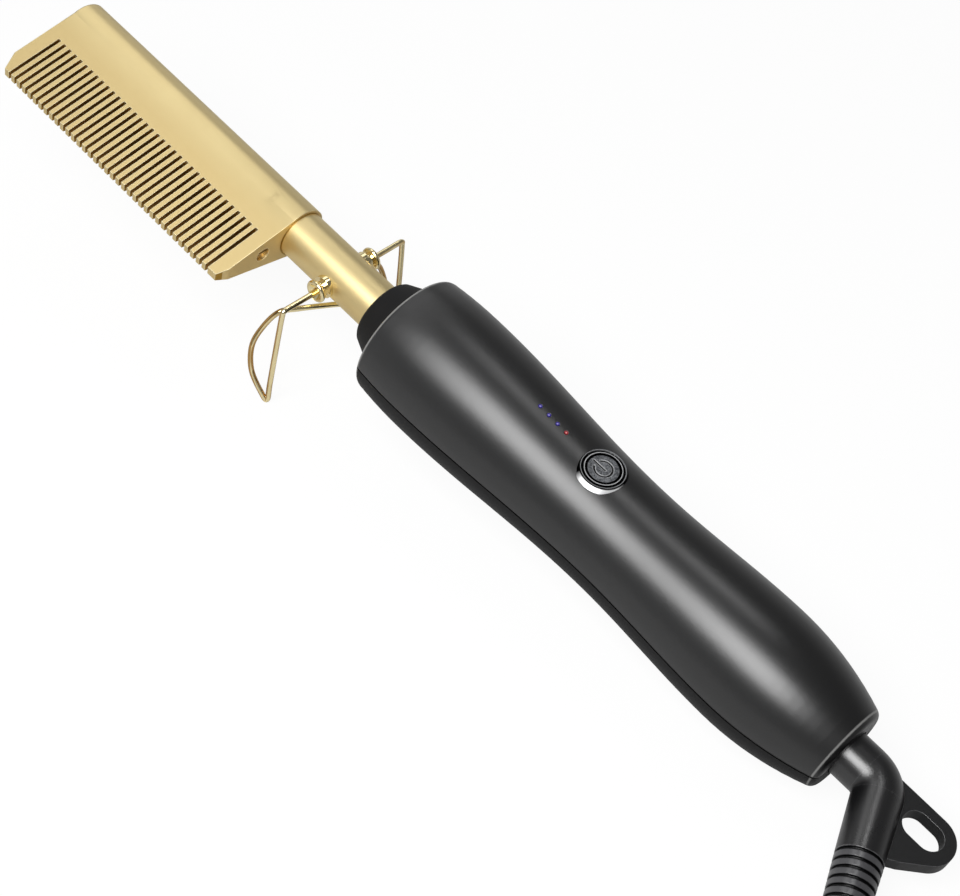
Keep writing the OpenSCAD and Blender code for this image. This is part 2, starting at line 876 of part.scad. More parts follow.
// A box on the underside of the circuit board
module under_board(x, y, size)
{
    translate([x, y - size[1] / 2, board_top - board_t - size[2]])
        cube(size);
}

module board_parts()
{
    color("darkslategray")
        place() {
            under_board(board_x + 22, -resistor_size[1], resistor_size);
            under_board(board_x + 22, 4, chip_size);
            under_board(board_x + 36, 0, transformer_size);
            translate([board_x + board_length - 9, 0, board_top])
                cylinder(r = capacitor_r, h = capacitor_h);
            translate([button_x + 8.5, -6.5, board_top])
                cube(triac_size);
            translate([board_x + 10, -6, board_top])
                cube(diode_size);
        }
}

module terminal_block()
{
    size = terminal_size;
    color("seagreen")
        place()
            difference() {
                under_board(terminal_x, 0, size);
                for (y = [-wire_y, wire_y]) {
                    rod(wire_r + fit, terminal_x - 1, terminal_x + 2, y);
                    rod(wire_r + fit, terminal_x + size[0] - 2, terminal_x + size[0] + 1, y);
                }
            }
}

// A saddle on the bottom shell that carries the thermal fuse
module fuse_cradle()
{
    for (x = [fuse_x + 2, fuse_x + fuse_length - 4])
        translate([x, -2 * fuse_r, -front_bulge_r])
            cube([2, 4 * fuse_r, front_bulge_r + fuse_z - fuse_r]);
}

module thermal_fuse()
{
    color("silver")
        place()
            rod(fuse_r, fuse_x, fuse_x + fuse_length, 0, fuse_z);
}

module supply_wires()
{
    color("saddlebrown")
        place()
            for (y = [-wire_y, wire_y])
                rod(wire_r, terminal_x + terminal_size[0] - 2, socket_x + 1, y);
}

module switch_housing()
{
    color("black")
        place()
            difference() {
                translate([button_x - switch_w / 2, -switch_w / 2, board_top])
                    cube([switch_w, switch_w, switch_h]);
                translate([button_x, 0, board_top + 0.4])
                    cylinder(r = plunger_r + running, h = switch_h);
            }
}

module switch_plunger()
{
    foot_z = board_top + 0.4 + travel + free;
    color("white")
        place()
            translate([button_x, 0, foot_z])
                cylinder(r = plunger_r, h = plunger_top - foot_z);
}

// Where the indicator lights stand, counted from the button
module at_lenses(count, first = 0)
{
    for (i = [first : count - 1])
        translate([lens_last_x - i * lens_pitch, 0, 0])
            children();
}

module indicator_leds()
{
    color("white")
        place()
            at_lenses(blue_count + 1)
                translate([-led_size[0] / 2, -led_size[1] / 2, board_top])
                    cube(led_size);
}

// One light pipe, from over its LED to the handle's surface
module light_pipe(x)
{
    foot_z = board_top + 1.1;
    translate([x, 0, foot_z])
        cylinder(r = lens_r, h = handle_radius(x) + 0.12 - foot_z);
}

module blue_light_pipes()
{
    color("blue")
        place()
            for (i = [1 : blue_count])
                light_pipe(lens_last_x - i * lens_pitch);
}

module red_light_pipe()
{
    color("red")
        place()
            light_pipe(lens_last_x);
}

module button_bezel()
{
    groove = 0.4;
    rim = 0.3;
    foot_h = 1.6;
    color("gray")
        place()
            translate([button_x, 0, 0])
                difference() {
                    union() {
                        translate([0, 0, bezel_bottom])
                            cylinder(r = bezel_body_r, h = bezel_top - bezel_bottom);
                        difference() {
                            translate([0, 0, bezel_top - foot_h])
                                cylinder(r1 = bezel_foot_r, r2 = bezel_r, h = foot_h);
                            translate([-button_x, 0, 0])
                                handle_outside(fit / 2);
                        }
                    }
                    cylinder(r = cap_r + cap_gap, h = 2 * front_bulge_r);
                    translate([0, 0, bezel_top - groove])
                        difference() {
                            cylinder(r = bezel_r - rim, h = groove + 1);
                            cylinder(r = bright_ring_r, h = groove + 2);
                        }
                }
}

module button_cap()
{
    face_t = 1.8;
    skirt_t = 1.2;
    mark_r = 2.4;
    mark_w = 0.5;
    mark_d = 0.25;
    color("darkslategray")
        place()
            translate([button_x, 0, 0])
                difference() {
                    union() {
                        difference() {
                            union() {
                                translate([0, 0, cap_bottom])
                                    cylinder(r = cap_r, h = cap_top - cap_bottom);
                                translate([0, 0, cap_bottom])
                                    cylinder(r = cap_lip_r, h = cap_lip_t);
                            }
                            translate([0, 0, cap_bottom - 1])
                                cylinder(r = cap_r - skirt_t, h = cap_top - face_t - cap_bottom + 1);
                        }
                        translate([0, 0, plunger_top])
                            cylinder(r = plunger_r + 0.4, h = cap_top - face_t / 2 - plunger_top);
                    }
                    translate([0, 0, cap_top - mark_d])
                        difference() {
                            cylinder(r = mark_r + mark_w / 2, h = 1);
                            cylinder(r = mark_r - mark_w / 2, h = 2);
                            translate([-2 * mark_r, -1, -1])
                                cube([2 * mark_r, 2, 3]);
                        }
                    translate([-mark_r - 1.2, -mark_w / 2, cap_top - mark_d])
                        cube([mark_r + 2, mark_w, 1]);
                }
}

// ================= Swivel and cord elbow =================

module swivel_socket()
{
    color("peru")
        place()
            difference() {
                rod(socket_r, socket_x, flange_x - free);
                rod(spigot_r + running, socket_x + 2, flange_x);
                for (y = [-wire_y, wire_y])
                    rod(wire_r + fit, socket_x - 1, socket_x + 1, y);
                for (x = contact_at)
                    ring(spigot_r + running, contact_r, socket_x + x, socket_x + x + contact_w);
            }
}

module contact_rings()
{
    color("orange")
        place()
            for (x = contact_at)
                ring(spigot_r + free, contact_r - fit, socket_x + x + fit,
                    socket_x + x + contact_w - fit);
}

// The strain relief's outline, as [radius, distance past the corner]
function relief_outline() = concat(
    [[0, bend_tangent], [elbow_r, bend_tangent], [rib_r, rib_start]],
    [for (i = [0 : rib_count - 1])
        let (x = rib_start + i * rib_pitch, r = relief_radius(x), s = relief_radius(x + groove_w))
            each [[r - groove_d, x + 0.1], [s - groove_d, x + groove_w - 0.1], [s, x + groove_w],
                [relief_radius(x + rib_pitch), x + rib_pitch]]],
    [[rib_end_r, elbow_end], [0, elbow_end]]);
function relief_radius(x) = rib_r + (rib_end_r - rib_r) * (x - rib_start) / relief_length;

// Outline of the hanging tab, from the elbow's corner
module tab_outline()
{
    centre = [tab_reach, -tab_drop];
    base = (rib_start - 2.2) * [cos(elbow_turn), -sin(elbow_turn)];
    edge = base + rib_r * [sin(elbow_turn), cos(elbow_turn)];
    polygon(concat(
        [[0, 0], [2, centre[1] + tab_r]],
        arc(centre, tab_r, 90, -46, 20),
        [edge + [2.5, 1.7], edge, base]));
}

module cord_elbow()
{
    turn = elbow_turn;
    bend_lap = 1.5;
    color(black)
        place()
            difference() {
                union() {
                    rod(elbow_r, flange_x + 0.5, corner_x - bend_tangent);
                    rod(elbow_r + 2.2, flange_x, flange_x + flange_t);
                    rod(spigot_r, socket_x + 2.4, flange_x + 1);
                    translate([corner_x - bend_tangent, -elbow_bend_r, 0])
                        rotate([0, 0, 90 - turn - bend_lap])
                            rotate_extrude(angle = turn + 2 * bend_lap)
                                translate([elbow_bend_r, 0])
                                    circle(r = elbow_r - 0.03);
                    translate([corner_x, 0, 0])
                        rotate([0, 0, -turn])
                            around_axis()
                                polygon(relief_outline());
                    difference() {
                        translate([corner_x, 0, -tab_t / 2])
                            linear_extrude(height = tab_t)
                                tab_outline();
                        tab_slot();
                    }
                }
                translate(relief_point(elbow_end - cord_seat - 1))
                    rotate([0, 90, -turn])
                        cylinder(r = cord_r + fit, h = cord_seat + 3);
            }
}

module tab_slot()
{
    half = (tab_slot_l - tab_slot_w) / 2;
    translate([corner_x + tab_slot_x, tab_slot_y, -tab_t]) {
        for (s = [-half, half])
            translate([s, 0, 0])
                cylinder(r = tab_slot_w / 2, h = 2 * tab_t);
        translate([-half, -tab_slot_w / 2, 0])
            cube([2 * half, tab_slot_w, 2 * tab_t]);
    }
}

// ================= Cord and plug =================

module cord_lead()
{
    color("black")
        swept(spline(lead_points, 4), cord_r, 12);
}

module cord_coil()
{
    color("black")
        translate([coil_at[0], coil_at[1], 0])
            rotate_extrude()
                polygon([[coil_r - coil_band + cord_r * 0.6, 0], [coil_r + coil_band - cord_r * 0.6, 0],
                    [coil_r + coil_band, cord_r], [coil_r + coil_band, coil_height - cord_r],
                    [coil_r + coil_band - cord_r * 0.6, coil_height],
                    [coil_r - coil_band + cord_r * 0.6, coil_height],
                    [coil_r - coil_band, coil_height - cord_r], [coil_r - coil_band, cord_r]]);
}

module cord_tail()
{
    color("black")
        swept(spline(tail_points, 4), cord_r, 12);
}

// Moves to the plug, with X along its blades
module at_plug()
{
    translate(plug_at)
        rotate([0, 0, plug_angle])
            children();
}

module plug_body()
{
    grip = plug_length * 0.47;
    color("black")
        at_plug()
            difference() {
                union() {
                    rotate([0, 90, 0])
                        cylinder(r1 = cord_r + 1.4, r2 = plug_t / 2 - 1, h = grip + 1);
                    translate([grip, 0, 0])
                        rotate([90, 0, 90])
                            linear_extrude(height = plug_length - grip)
                                plug_section(3);
                }
                blades(fit);
            }
}

// Section of the plug's body, as a box with cut corners
module plug_section(cut)
{
    w = plug_width / 2;
    t = plug_t / 2;
    polygon([[-w, cut - t], [cut - w, -t], [w - cut, -t], [w, cut - t], [w, t - cut], [w - cut, t],
        [cut - w, t], [-w, t - cut]]);
}

// The two blades, each with a hole near its tip
module blades(grow = 0)
{
    hole_r = 1.6;
    for (y = [-blade_gap / 2, blade_gap / 2])
        difference() {
            translate([blade_x - grow, y - blade_t / 2 - grow, -blade_w / 2 - grow])
                cube([blade_length + plug_length - blade_x + 2 * grow, blade_t + 2 * grow,
                    blade_w + 2 * grow]);
            translate([plug_length + blade_length - 3.4, y + blade_t, 0])
                rotate([90, 0, 0])
                    cylinder(r = hole_r, h = 2 * blade_t);
        }
}

module plug_blades()
{
    color("silver")
        at_plug()
            blades();
}

// ================= The object =================

comb_head();
comb_screw();
heating_cartridge();
temperature_sensor();
heater_wires();
wire_sleeve();
tube();
pivot_bushes();
wire_rest();
collar();
tube_holder();
handle_top_shell();
handle_bottom_shell();
shell_screws();
circuit_board();
board_screws();
board_parts();
terminal_block();
thermal_fuse();
supply_wires();
switch_housing();
switch_plunger();
indicator_leds();
blue_light_pipes();
red_light_pipe();
button_bezel();
button_cap();
swivel_socket();
contact_rings();
cord_elbow();
cord_lead();
cord_coil();
cord_tail();
plug_body();
plug_blades();
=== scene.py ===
"""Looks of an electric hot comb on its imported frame.

The comb, tube, handle and the parts inside come from the frame and get their finishes here. The
wire rest, the cord with its coil, the tie and the moulded plug are built here, and so are the
floor, the lamps and the camera.
"""

import json
import math

import bmesh
import bpy
from mathutils import Matrix, Vector


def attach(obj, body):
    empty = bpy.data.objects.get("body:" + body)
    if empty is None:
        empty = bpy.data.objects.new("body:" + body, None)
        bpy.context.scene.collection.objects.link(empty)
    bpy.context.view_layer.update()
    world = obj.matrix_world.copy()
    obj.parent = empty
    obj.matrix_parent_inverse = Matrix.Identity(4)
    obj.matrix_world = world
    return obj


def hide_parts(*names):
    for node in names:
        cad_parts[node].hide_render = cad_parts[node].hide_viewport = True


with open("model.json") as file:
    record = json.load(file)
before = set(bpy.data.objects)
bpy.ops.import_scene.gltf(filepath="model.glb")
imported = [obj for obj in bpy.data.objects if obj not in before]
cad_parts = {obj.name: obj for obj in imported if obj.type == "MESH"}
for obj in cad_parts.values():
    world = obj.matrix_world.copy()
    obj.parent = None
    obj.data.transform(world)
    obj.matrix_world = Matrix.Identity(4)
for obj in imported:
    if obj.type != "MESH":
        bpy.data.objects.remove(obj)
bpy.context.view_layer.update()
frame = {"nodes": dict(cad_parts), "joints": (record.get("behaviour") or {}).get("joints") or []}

bl_info = {
    "name": "Electric hot comb",
    "version": (1, 0, 0),
    "blender": (4, 5, 0),
    "location": "3D Viewport > Sidebar > Hot comb",
    "description": "Finishes, wire rest, cord, floor and lamps of an electric hot comb",
    "category": "Object",
}

MM = 0.001


def joint(name):
    """One of the frame's joints, by its name."""
    return next(j for j in frame["joints"] if j["name"] == name)


# The tool's own axes: ALONG runs from the comb to the cord, the teeth point against ACROSS, the
# button faces UP, and the wire rest turns at PIVOT.
PIVOT = Vector(joint("rest_fold")["pos_m"])
ACROSS = Vector(joint("rest_fold")["axis"]).normalized()
UP = -Vector(joint("button_press")["axis"]).normalized()
ALONG = ACROSS.cross(UP)
TOOL_TURN = Matrix((ALONG, ACROSS, UP)).transposed()


def on_tool(x, y, z):
    """Where a point of the tool's own axes, in millimetres, lies in the frame, in metres."""
    return PIVOT + TOOL_TURN @ Vector((x, y, z)) * MM


# ---- Curves and meshes ----


def ease(t):
    """From 0 to 1, slow at both ends and held beyond them."""
    t = min(max(t, 0), 1)
    return t * t * (3 - 2 * t)


def smooth_line(points, steps):
    """A smooth line through all the points, with that many steps from one to the next."""
    line = []
    for i in range(len(points) - 1):
        a, b = points[max(i - 1, 0)], points[i]
        c, d = points[i + 1], points[min(i + 2, len(points) - 1)]
        square, cube = 2 * a - 5 * b + 4 * c - d, 3 * b - a - 3 * c + d
        for k in range(steps):
            t = k / steps
            line.append(0.5 * (2 * b + (c - a) * t + square * t**2 + cube * t**3))
    return line + [points[-1]]


def round_curve(name, points, radius, sides, kind="POLY", steps=6):
    """A round bar as a curve with one open spline through the points."""
    data = bpy.data.curves.new(name, "CURVE")
    data.dimensions = "3D"
    data.bevel_depth = radius
    data.bevel_resolution = sides
    data.use_fill_caps = True
    data.resolution_u = steps
    spline = data.splines.new(kind)
    if kind == "BEZIER":
        spline.bezier_points.add(len(points) - 1)
        for knot, point in zip(spline.bezier_points, points):
            knot.co = point
            knot.handle_left_type = knot.handle_right_type = "AUTO"
    else:
        spline.points.add(len(points) - 1)
        for knot, point in zip(spline.points, points):
            knot.co = (*point, 1)
    spline.use_smooth = True
    made = bpy.data.objects.new(name, data)
    bpy.context.scene.collection.objects.link(made)
    return made


def lofted(name, rings, closed=False):
    """A smooth mesh through rings of points, with its ends filled unless it closes on itself."""
    bm = bmesh.new()
    rows = [[bm.verts.new(p) for p in ring] for ring in rings]
    pairs = list(zip(rows, rows[1:] + rows[:1])) if closed else list(zip(rows, rows[1:]))
    for a, b in pairs:
        for i in range(len(a)):
            k = (i + 1) % len(a)
            bm.faces.new((a[i], a[k], b[k], b[i]))
    if not closed:
        bm.faces.new(list(reversed(rows[0])))
        bm.faces.new(rows[-1])
    bmesh.ops.recalc_face_normals(bm, faces=bm.faces)
    for face in bm.faces:
        face.smooth = True
    mesh = bpy.data.meshes.new(name)
    bm.to_mesh(mesh)
    bm.free()
    made = bpy.data.objects.new(name, mesh)
    bpy.context.scene.collection.objects.link(made)
    return made


def rounded_box_ring(half_w, half_t, power, sides=48):
    """Points of a box's outline with round corners, which get tighter as power grows."""
    ring = []
    for i in range(sides):
        a = 2 * math.pi * i / sides
        u, w = (math.copysign(abs(v) ** (2 / power), v) for v in (math.cos(a), math.sin(a)))
        ring.append((half_w * u, half_t * w))
    return ring


# ---- Materials ----

# How much of the white background reflections find
REFLECTED_WHITE = 0.15


class Value:
    """A socket that carries a number, a colour or a vector, with Python's operators on numbers."""

    def __init__(self, finish, socket):
        self.finish = finish
        self.socket = socket

    def __add__(self, other):
        return self.finish.maths("ADD", self, other)

    def __radd__(self, other):
        return self.finish.maths("ADD", other, self)

    def __sub__(self, other):
        return self.finish.maths("SUBTRACT", self, other)

    def __rsub__(self, other):
        return self.finish.maths("SUBTRACT", other, self)

    def __mul__(self, other):
        return self.finish.maths("MULTIPLY", self, other)

    def __rmul__(self, other):
        return self.finish.maths("MULTIPLY", other, self)

    def __pow__(self, other):
        return self.finish.maths("POWER", self, other)

    def __abs__(self):
        return self.finish.maths("ABSOLUTE", self)

    def __lt__(self, other):
        return self.finish.maths("LESS_THAN", self, other)

    def __gt__(self, other):
        return self.finish.maths("GREATER_THAN", self, other)

    def most(self, other):
        return self.finish.maths("MAXIMUM", self, other)

    def least(self, other):
        return self.finish.maths("MINIMUM", self, other)

    def ramp(self, low, high):
        """0 at low, 1 at high and straight in between, also when high is less than low."""
        sockets = {"Value": self, "From Min": low, "From Max": high}
        return self.finish.node("MapRange", {"clamp": True}, sockets)


def length(across, up):
    """How far a point is from an axis, from its two distances."""
    return (across**2.0 + up**2.0) ** 0.5


class Finish:
    """A material or another node tree under construction."""

    def __init__(self, name, owner=None):
        self.material = owner or bpy.data.materials.new(name)
        self.material.use_nodes = True
        self.tree = self.material.node_tree
        self.tree.nodes.clear()

    def node(self, kind, settings=None, sockets=None, out=0):
        """Adds a node, first its settings and then its sockets' values or links."""
        made = self.tree.nodes.new("ShaderNode" + kind)
        for name, value in (settings or {}).items():
            setattr(made, name, value)
        for name, value in (sockets or {}).items():
            if isinstance(value, Value):
                self.tree.links.new(value.socket, made.inputs[name])
            else:
                made.inputs[name].default_value = value
        return Value(self, made.outputs[out]) if made.outputs else None

    def maths(self, operation, *values):
        """A number worked out from others."""
        return self.node("Math", {"operation": operation}, dict(enumerate(values)))

    def place(self):
        """Millimetres in the tool's own axes, whose origin is the wire rest's pivot."""
        where = self.node("TexCoord", out="Object")
        sockets = {
            "Vector": where,
            "Location": PIVOT,
            "Rotation": TOOL_TURN.to_euler(),
            "Scale": (MM, MM, MM),
        }
        return self.node("Mapping", {"vector_type": "TEXTURE"}, sockets)

    def split(self, vector):
        """A vector's three numbers."""
        x = self.node("SeparateXYZ", None, {"Vector": vector})
        sockets = x.socket.node.outputs
        return x, Value(self, sockets[1]), Value(self, sockets[2])

    def stretch(self, vector, scale):
        """The vector with each of its numbers times its own scale."""
        return self.node("VectorMath", {"operation": "MULTIPLY"}, {0: vector, 1: scale})

    def noise(self, vector, scale, detail=2.0, roughness=0.5):
        """Soft noise around 0.5. The scale is in patches per millimetre."""
        sockets = {"Vector": vector, "Scale": scale, "Detail": detail, "Roughness": roughness}
        return self.node("TexNoise", None, sockets)

    def cells(self, vector, scale):
        """Distance from the middles of scattered cells."""
        return self.node("TexVoronoi", None, {"Vector": vector, "Scale": scale})

    def mix(self, first, second, share):
        """A colour between two others."""
        first, second = (
            c if isinstance(c, Value) else (*tuple(c)[:3], 1) for c in (first, second)
        )
        settings = {"data_type": "RGBA"}
        return self.node("Mix", settings, {0: share, 6: first, 7: second}, out=2)

    def blend(self, first, second, share):
        """A normal between two others."""
        return self.node("Mix", {"data_type": "VECTOR"}, {0: share, 4: first, 5: second}, out=1)

    def dot(self, first, second):
        """How far two directions agree, from -1 to 1."""
        settings = {"operation": "DOT_PRODUCT"}
        return self.node("VectorMath", settings, {0: first, 1: second}, out="Value")

    def flat(self):
        """The surface's own normal."""
        return self.node("NewGeometry", out="Normal")

    def facing(self, way):
        """How far the surface faces along a direction or against it, from 0 to 1."""
        return abs(self.dot(self.flat(), way))

    def soft_edges(self, radius, least=0.004):
        """The surface's normal with its edges rounded, and how much of an edge is there."""
        rounded = self.node("Bevel", {"samples": 6}, {"Radius": radius * MM})
        return rounded, (1 - self.dot(rounded, self.flat())).ramp(least, 0.12)

    def bump(self, height, distance, normal=None, strength=1.0):
        """A normal that follows a height from 0 to 1, whose full depth is in millimetres."""
        sockets = {"Height": height, "Distance": distance * MM, "Strength": strength}
        if normal:
            sockets["Normal"] = normal
        return self.node("Bump", None, sockets)

    def background(self, straight):
        """How white a ray finds what is behind the object: the camera's rays, then reflections."""
        camera, shiny, through = (
            self.node("LightPath", out=f"Is {ray} Ray") for ray in ("Camera", "Glossy", "Transmission")
        )
        return camera * straight + shiny.most(through) * REFLECTED_WHITE

    def done(self, **sockets):
        """Closes the material with one Principled surface."""
        inputs = {}
        for name, value in sockets.items():
            inputs[name.replace("_", " ").title().replace("Ior", "IOR")] = value
        surface = self.node("BsdfPrincipled", None, inputs)
        self.node("OutputMaterial", None, {"Surface": surface})
        return self.material


# All measures of the finishes are in millimetres, in the tool's own axes.
# The comb head's two ends, and how its flat sides close in from the axis to the teeth's tips
COMB_REAR = -18.0
COMB_TIP = -113.6
SIDE_SLOPE = 0.2286
SIDE_MIDDLE = 7.925
# The height up to which the slots reach, and the strip at the comb's two ends that has none
SLOT_TOP = -12.0
END_WALL = 0.6
# The tube's radius
TUBE = 7.0


def satin_gold(colours):
    """Blasted and plated metal of the comb head and its tube."""
    f = Finish("satin_gold")
    where = f.place()
    x, y, z = f.split(where)
    grain = f.noise(where, 4.0, 2.0, 0.6)
    cloud = f.noise(where, 0.09, 3.0)
    streak = f.noise(f.stretch(where, (0.15, 1.6, 1.6)), 1.0, 2.0)
    rounded, edge = f.soft_edges(0.45)
    teeth = y.ramp(-3.0, -9.0)
    # The teeth's edges are crisp
    rounded = f.blend(rounded, f.flat(), teeth * 0.8)
    # The flat sides run smoothly into the round spine
    wide, _ = f.soft_edges(3.0)
    middle = x.ramp(COMB_REAR - 3.0, COMB_REAR - 10.0) * x.ramp(COMB_TIP + 3.0, COMB_TIP + 10.0)
    blend = y.ramp(-8.5, -6.5) * y.ramp(0.5, -1.0) * middle
    smooth = f.blend(rounded, wide, blend)
    # Painted shade on the walls of the slots, and a painted shadow line around the foot of the tube
    depth = (y * SIDE_SLOPE + SIDE_MIDDLE) - abs(z)
    inside = (y < SLOT_TOP) * (x < COMB_REAR - END_WALL) * (x > COMB_TIP + END_WALL)
    walls = f.facing(ALONG).ramp(0.5, 0.8) * inside * depth.ramp(-0.25, 0.05)
    seat = length(y, z) < TUBE + 0.3
    foot = abs(x - COMB_REAR - 0.1).ramp(0.32, 0.18) * seat
    painted_shade = walls.most(foot * 0.85)
    # The cast rear face is left coarser than the polished sides
    rear = abs(x - COMB_REAR).ramp(0.4, 0.1) * (1 - seat)
    tone = f.mix(colours.gold, colours.gold_shade, 0.40 * cloud + 0.60 * teeth.most(rear))
    # Painted highlight along the rounded edges
    tone = f.mix(tone, colours.gold_edge_highlight, edge)
    height = grain * 0.7 + streak * 0.3
    return f.done(
        # The slots' walls and the tube's foot get their painted shade
        base_color=f.mix(tone, colours.painted_shade, painted_shade),
        metallic=1.0,
        roughness=0.30 + 0.10 * teeth + 0.22 * rear + 0.10 * grain + 0.06 * cloud - 0.10 * edge,
        normal=f.bump(height, 0.010, smooth, 0.6 + 0.4 * rear),
    )


# From the wire rest towards the comb and the teeth; the wire's painted dark reflections lie along the sides
# that face this way or away from it
COMB_SIDE = TOOL_TURN @ Vector((-0.69, -0.70, -0.18))


def bright_gold(name, colours, painted_reflection):
    """Polished plating, with painted dark reflections along its sides, most towards the comb."""
    f = Finish(name)
    where = f.place()
    x, _, _ = f.split(where)
    drawn = f.noise(where, 0.12, 2.0)
    grain = f.noise(where, 6.0, 2.0)
    rounded, edge = f.soft_edges(0.1)
    # Painted dark reflections along the sides that face towards the comb and away from it, most on the one
    # that faces the comb and on the part nearest it, broken up by drawn streaks
    side_facing = f.dot(f.node("TexCoord", out="Normal"), COMB_SIDE)
    near = x.ramp(-1.0, -5.0)
    painted_dark_streaks = (abs(side_facing) * 0.8 + side_facing * 0.2 + drawn * 0.8 + near * 0.3).ramp(0.70, 1.0) * painted_reflection
    tone = f.mix(colours.bright_gold, colours.deep_gold_and_dark_reflection, painted_dark_streaks)
    return f.done(
        # Painted highlight along the rounded edges
        base_color=f.mix(tone, colours.gold_edge_highlight, edge * 0.5),
        metallic=1.0,
        roughness=0.07 + 0.06 * grain,
        normal=f.bump(grain, 0.002, rounded),
    )


def screw_gold(colours):
    """Dull plating of the screw in the comb's rear face."""
    f = Finish("screw_gold")
    where = f.place()
    turned = f.noise(f.stretch(where, (1.0, 3.0, 3.0)), 1.0, 2.0)
    rounded, edge = f.soft_edges(0.1)
    tone = f.mix(colours.deep_gold_and_dark_reflection, colours.gold_shade, turned)
    return f.done(
        # Painted highlight along the rounded edges
        base_color=f.mix(tone, colours.gold_edge_highlight, edge * 0.6),
        metallic=1.0,
        roughness=0.34 + 0.14 * turned,
        normal=f.bump(turned, 0.01, rounded),
    )


# The button's middle, its face's height and radius, and its bezel's ring, rim and foot
BUTTON_X = 94.1
CAP_TOP = 16.89
CAP = 4.35
BEZEL_RING = 4.95
BEZEL_RIM = 6.1
BEZEL_FOOT = 7.0
# The indicator lights: the red one, the step to each blue one, and how far aside their line is
RED_LIGHT = 80.7
LIGHT_STEP = 3.2
BLUE_LIGHTS = [RED_LIGHT - LIGHT_STEP * i for i in (1, 2, 3)]
LIGHTS_Y = -0.08
# The handle's front face, and the line at which its rear end rounds off
HANDLE_FRONT = 25.2
HANDLE_ROUND = 182.0
# How far the handle's wide rounding stays from its ends, its seam and its controls
END_MARGIN = 4.0
SEAM_MARGIN = 3.2
CONTROLS_MARGIN = 3.5


def satin_black(name, colours, roughness, ior, depth):
    """Soft lacquer over the moulded handle, or its bare grained underside."""
    f = Finish(name)
    where = f.place()
    x, y, z = f.split(where)
    peel = f.noise(where, 0.55, 2.0)
    grain = f.noise(where, 4.0, 2.0)
    cloud = f.noise(where, 0.03, 2.0)
    rounded, edge = f.soft_edges(0.35)
    # A wide rounding hides the facets, away from the ends, the seam and the button
    wide, _ = f.soft_edges(2.5)
    reach = BEZEL_FOOT + CONTROLS_MARGIN
    controls = (x > BLUE_LIGHTS[-1] - CONTROLS_MARGIN) * (x < BUTTON_X + reach) * (abs(y) < reach)
    between = (x > HANDLE_FRONT + END_MARGIN) * (x < HANDLE_ROUND - END_MARGIN)
    smooth = f.blend(rounded, wide, between * (abs(z) > SEAM_MARGIN) * (1 - controls))
    # Painted shade along the seam between the shells: black, and metal so that it keeps no reflection
    seam = abs(z).ramp(0.42, 0.26)
    # The rounded rear end is mostly black metal, which dulls its reflections
    end = x.ramp(HANDLE_ROUND + 0.2, HANDLE_ROUND + 0.9) * 0.7
    # Painted highlight lines on the roundings at the handle's front and rear ends
    front = abs(x - (HANDLE_FRONT + 0.4)).ramp(0.45, 0.15)
    rear = abs(x - HANDLE_ROUND).ramp(0.35, 0.10)
    tone = f.mix(colours.black, colours.black_worn, 0.35 * cloud + 0.15 * grain)
    # Painted highlight along the rounded edges, away from the seam
    tone = f.mix(tone, colours.black_edge_highlight, edge * (abs(z) > 1.0))
    tone = f.mix(tone, colours.black_rim_highlight, front.most(rear))
    return f.done(
        base_color=f.mix(tone, (0, 0, 0), seam),
        metallic=seam.most(end),
        roughness=roughness + 0.04 * cloud + 0.06 * grain,
        ior=ior,
        normal=f.bump(peel * 0.6 + grain * 0.4, depth, smooth),
    )


def matte_black(colours):
    """Bare moulding of the collar, with fine spark-eroded grain."""
    f = Finish("matte_black")
    where = f.place()
    grain = f.noise(where, 3.2, 3.0, 0.65)
    cloud = f.noise(where, 0.12, 2.0)
    rounded, edge = f.soft_edges(0.3)
    tone = f.mix(colours.black, colours.black_worn, 0.5 * grain + 0.4 * cloud)
    return f.done(
        # Painted highlight along the rounded edges
        base_color=f.mix(tone, colours.black_edge_highlight, edge * 0.6),
        roughness=0.58 + 0.10 * grain,
        ior=1.3,
        normal=f.bump(grain, 0.014, rounded),
    )


# The elbow's corner and turn, and where its ribs start and end past the corner
ELBOW_CORNER = 194.4
ELBOW_TURN = math.radians(65.5)
RIB_START = 21.6
RELIEF_END = 55.6
# The strain relief's radius where the ribs start, and how much of it each millimetre takes off
RELIEF_RADIUS = 6.0
RELIEF_TAPER = 0.0324
# Half the tab's thickness, and how far out from the elbow's middle line it starts
TAB_HALF = 2.06
TAB_START = 5.0


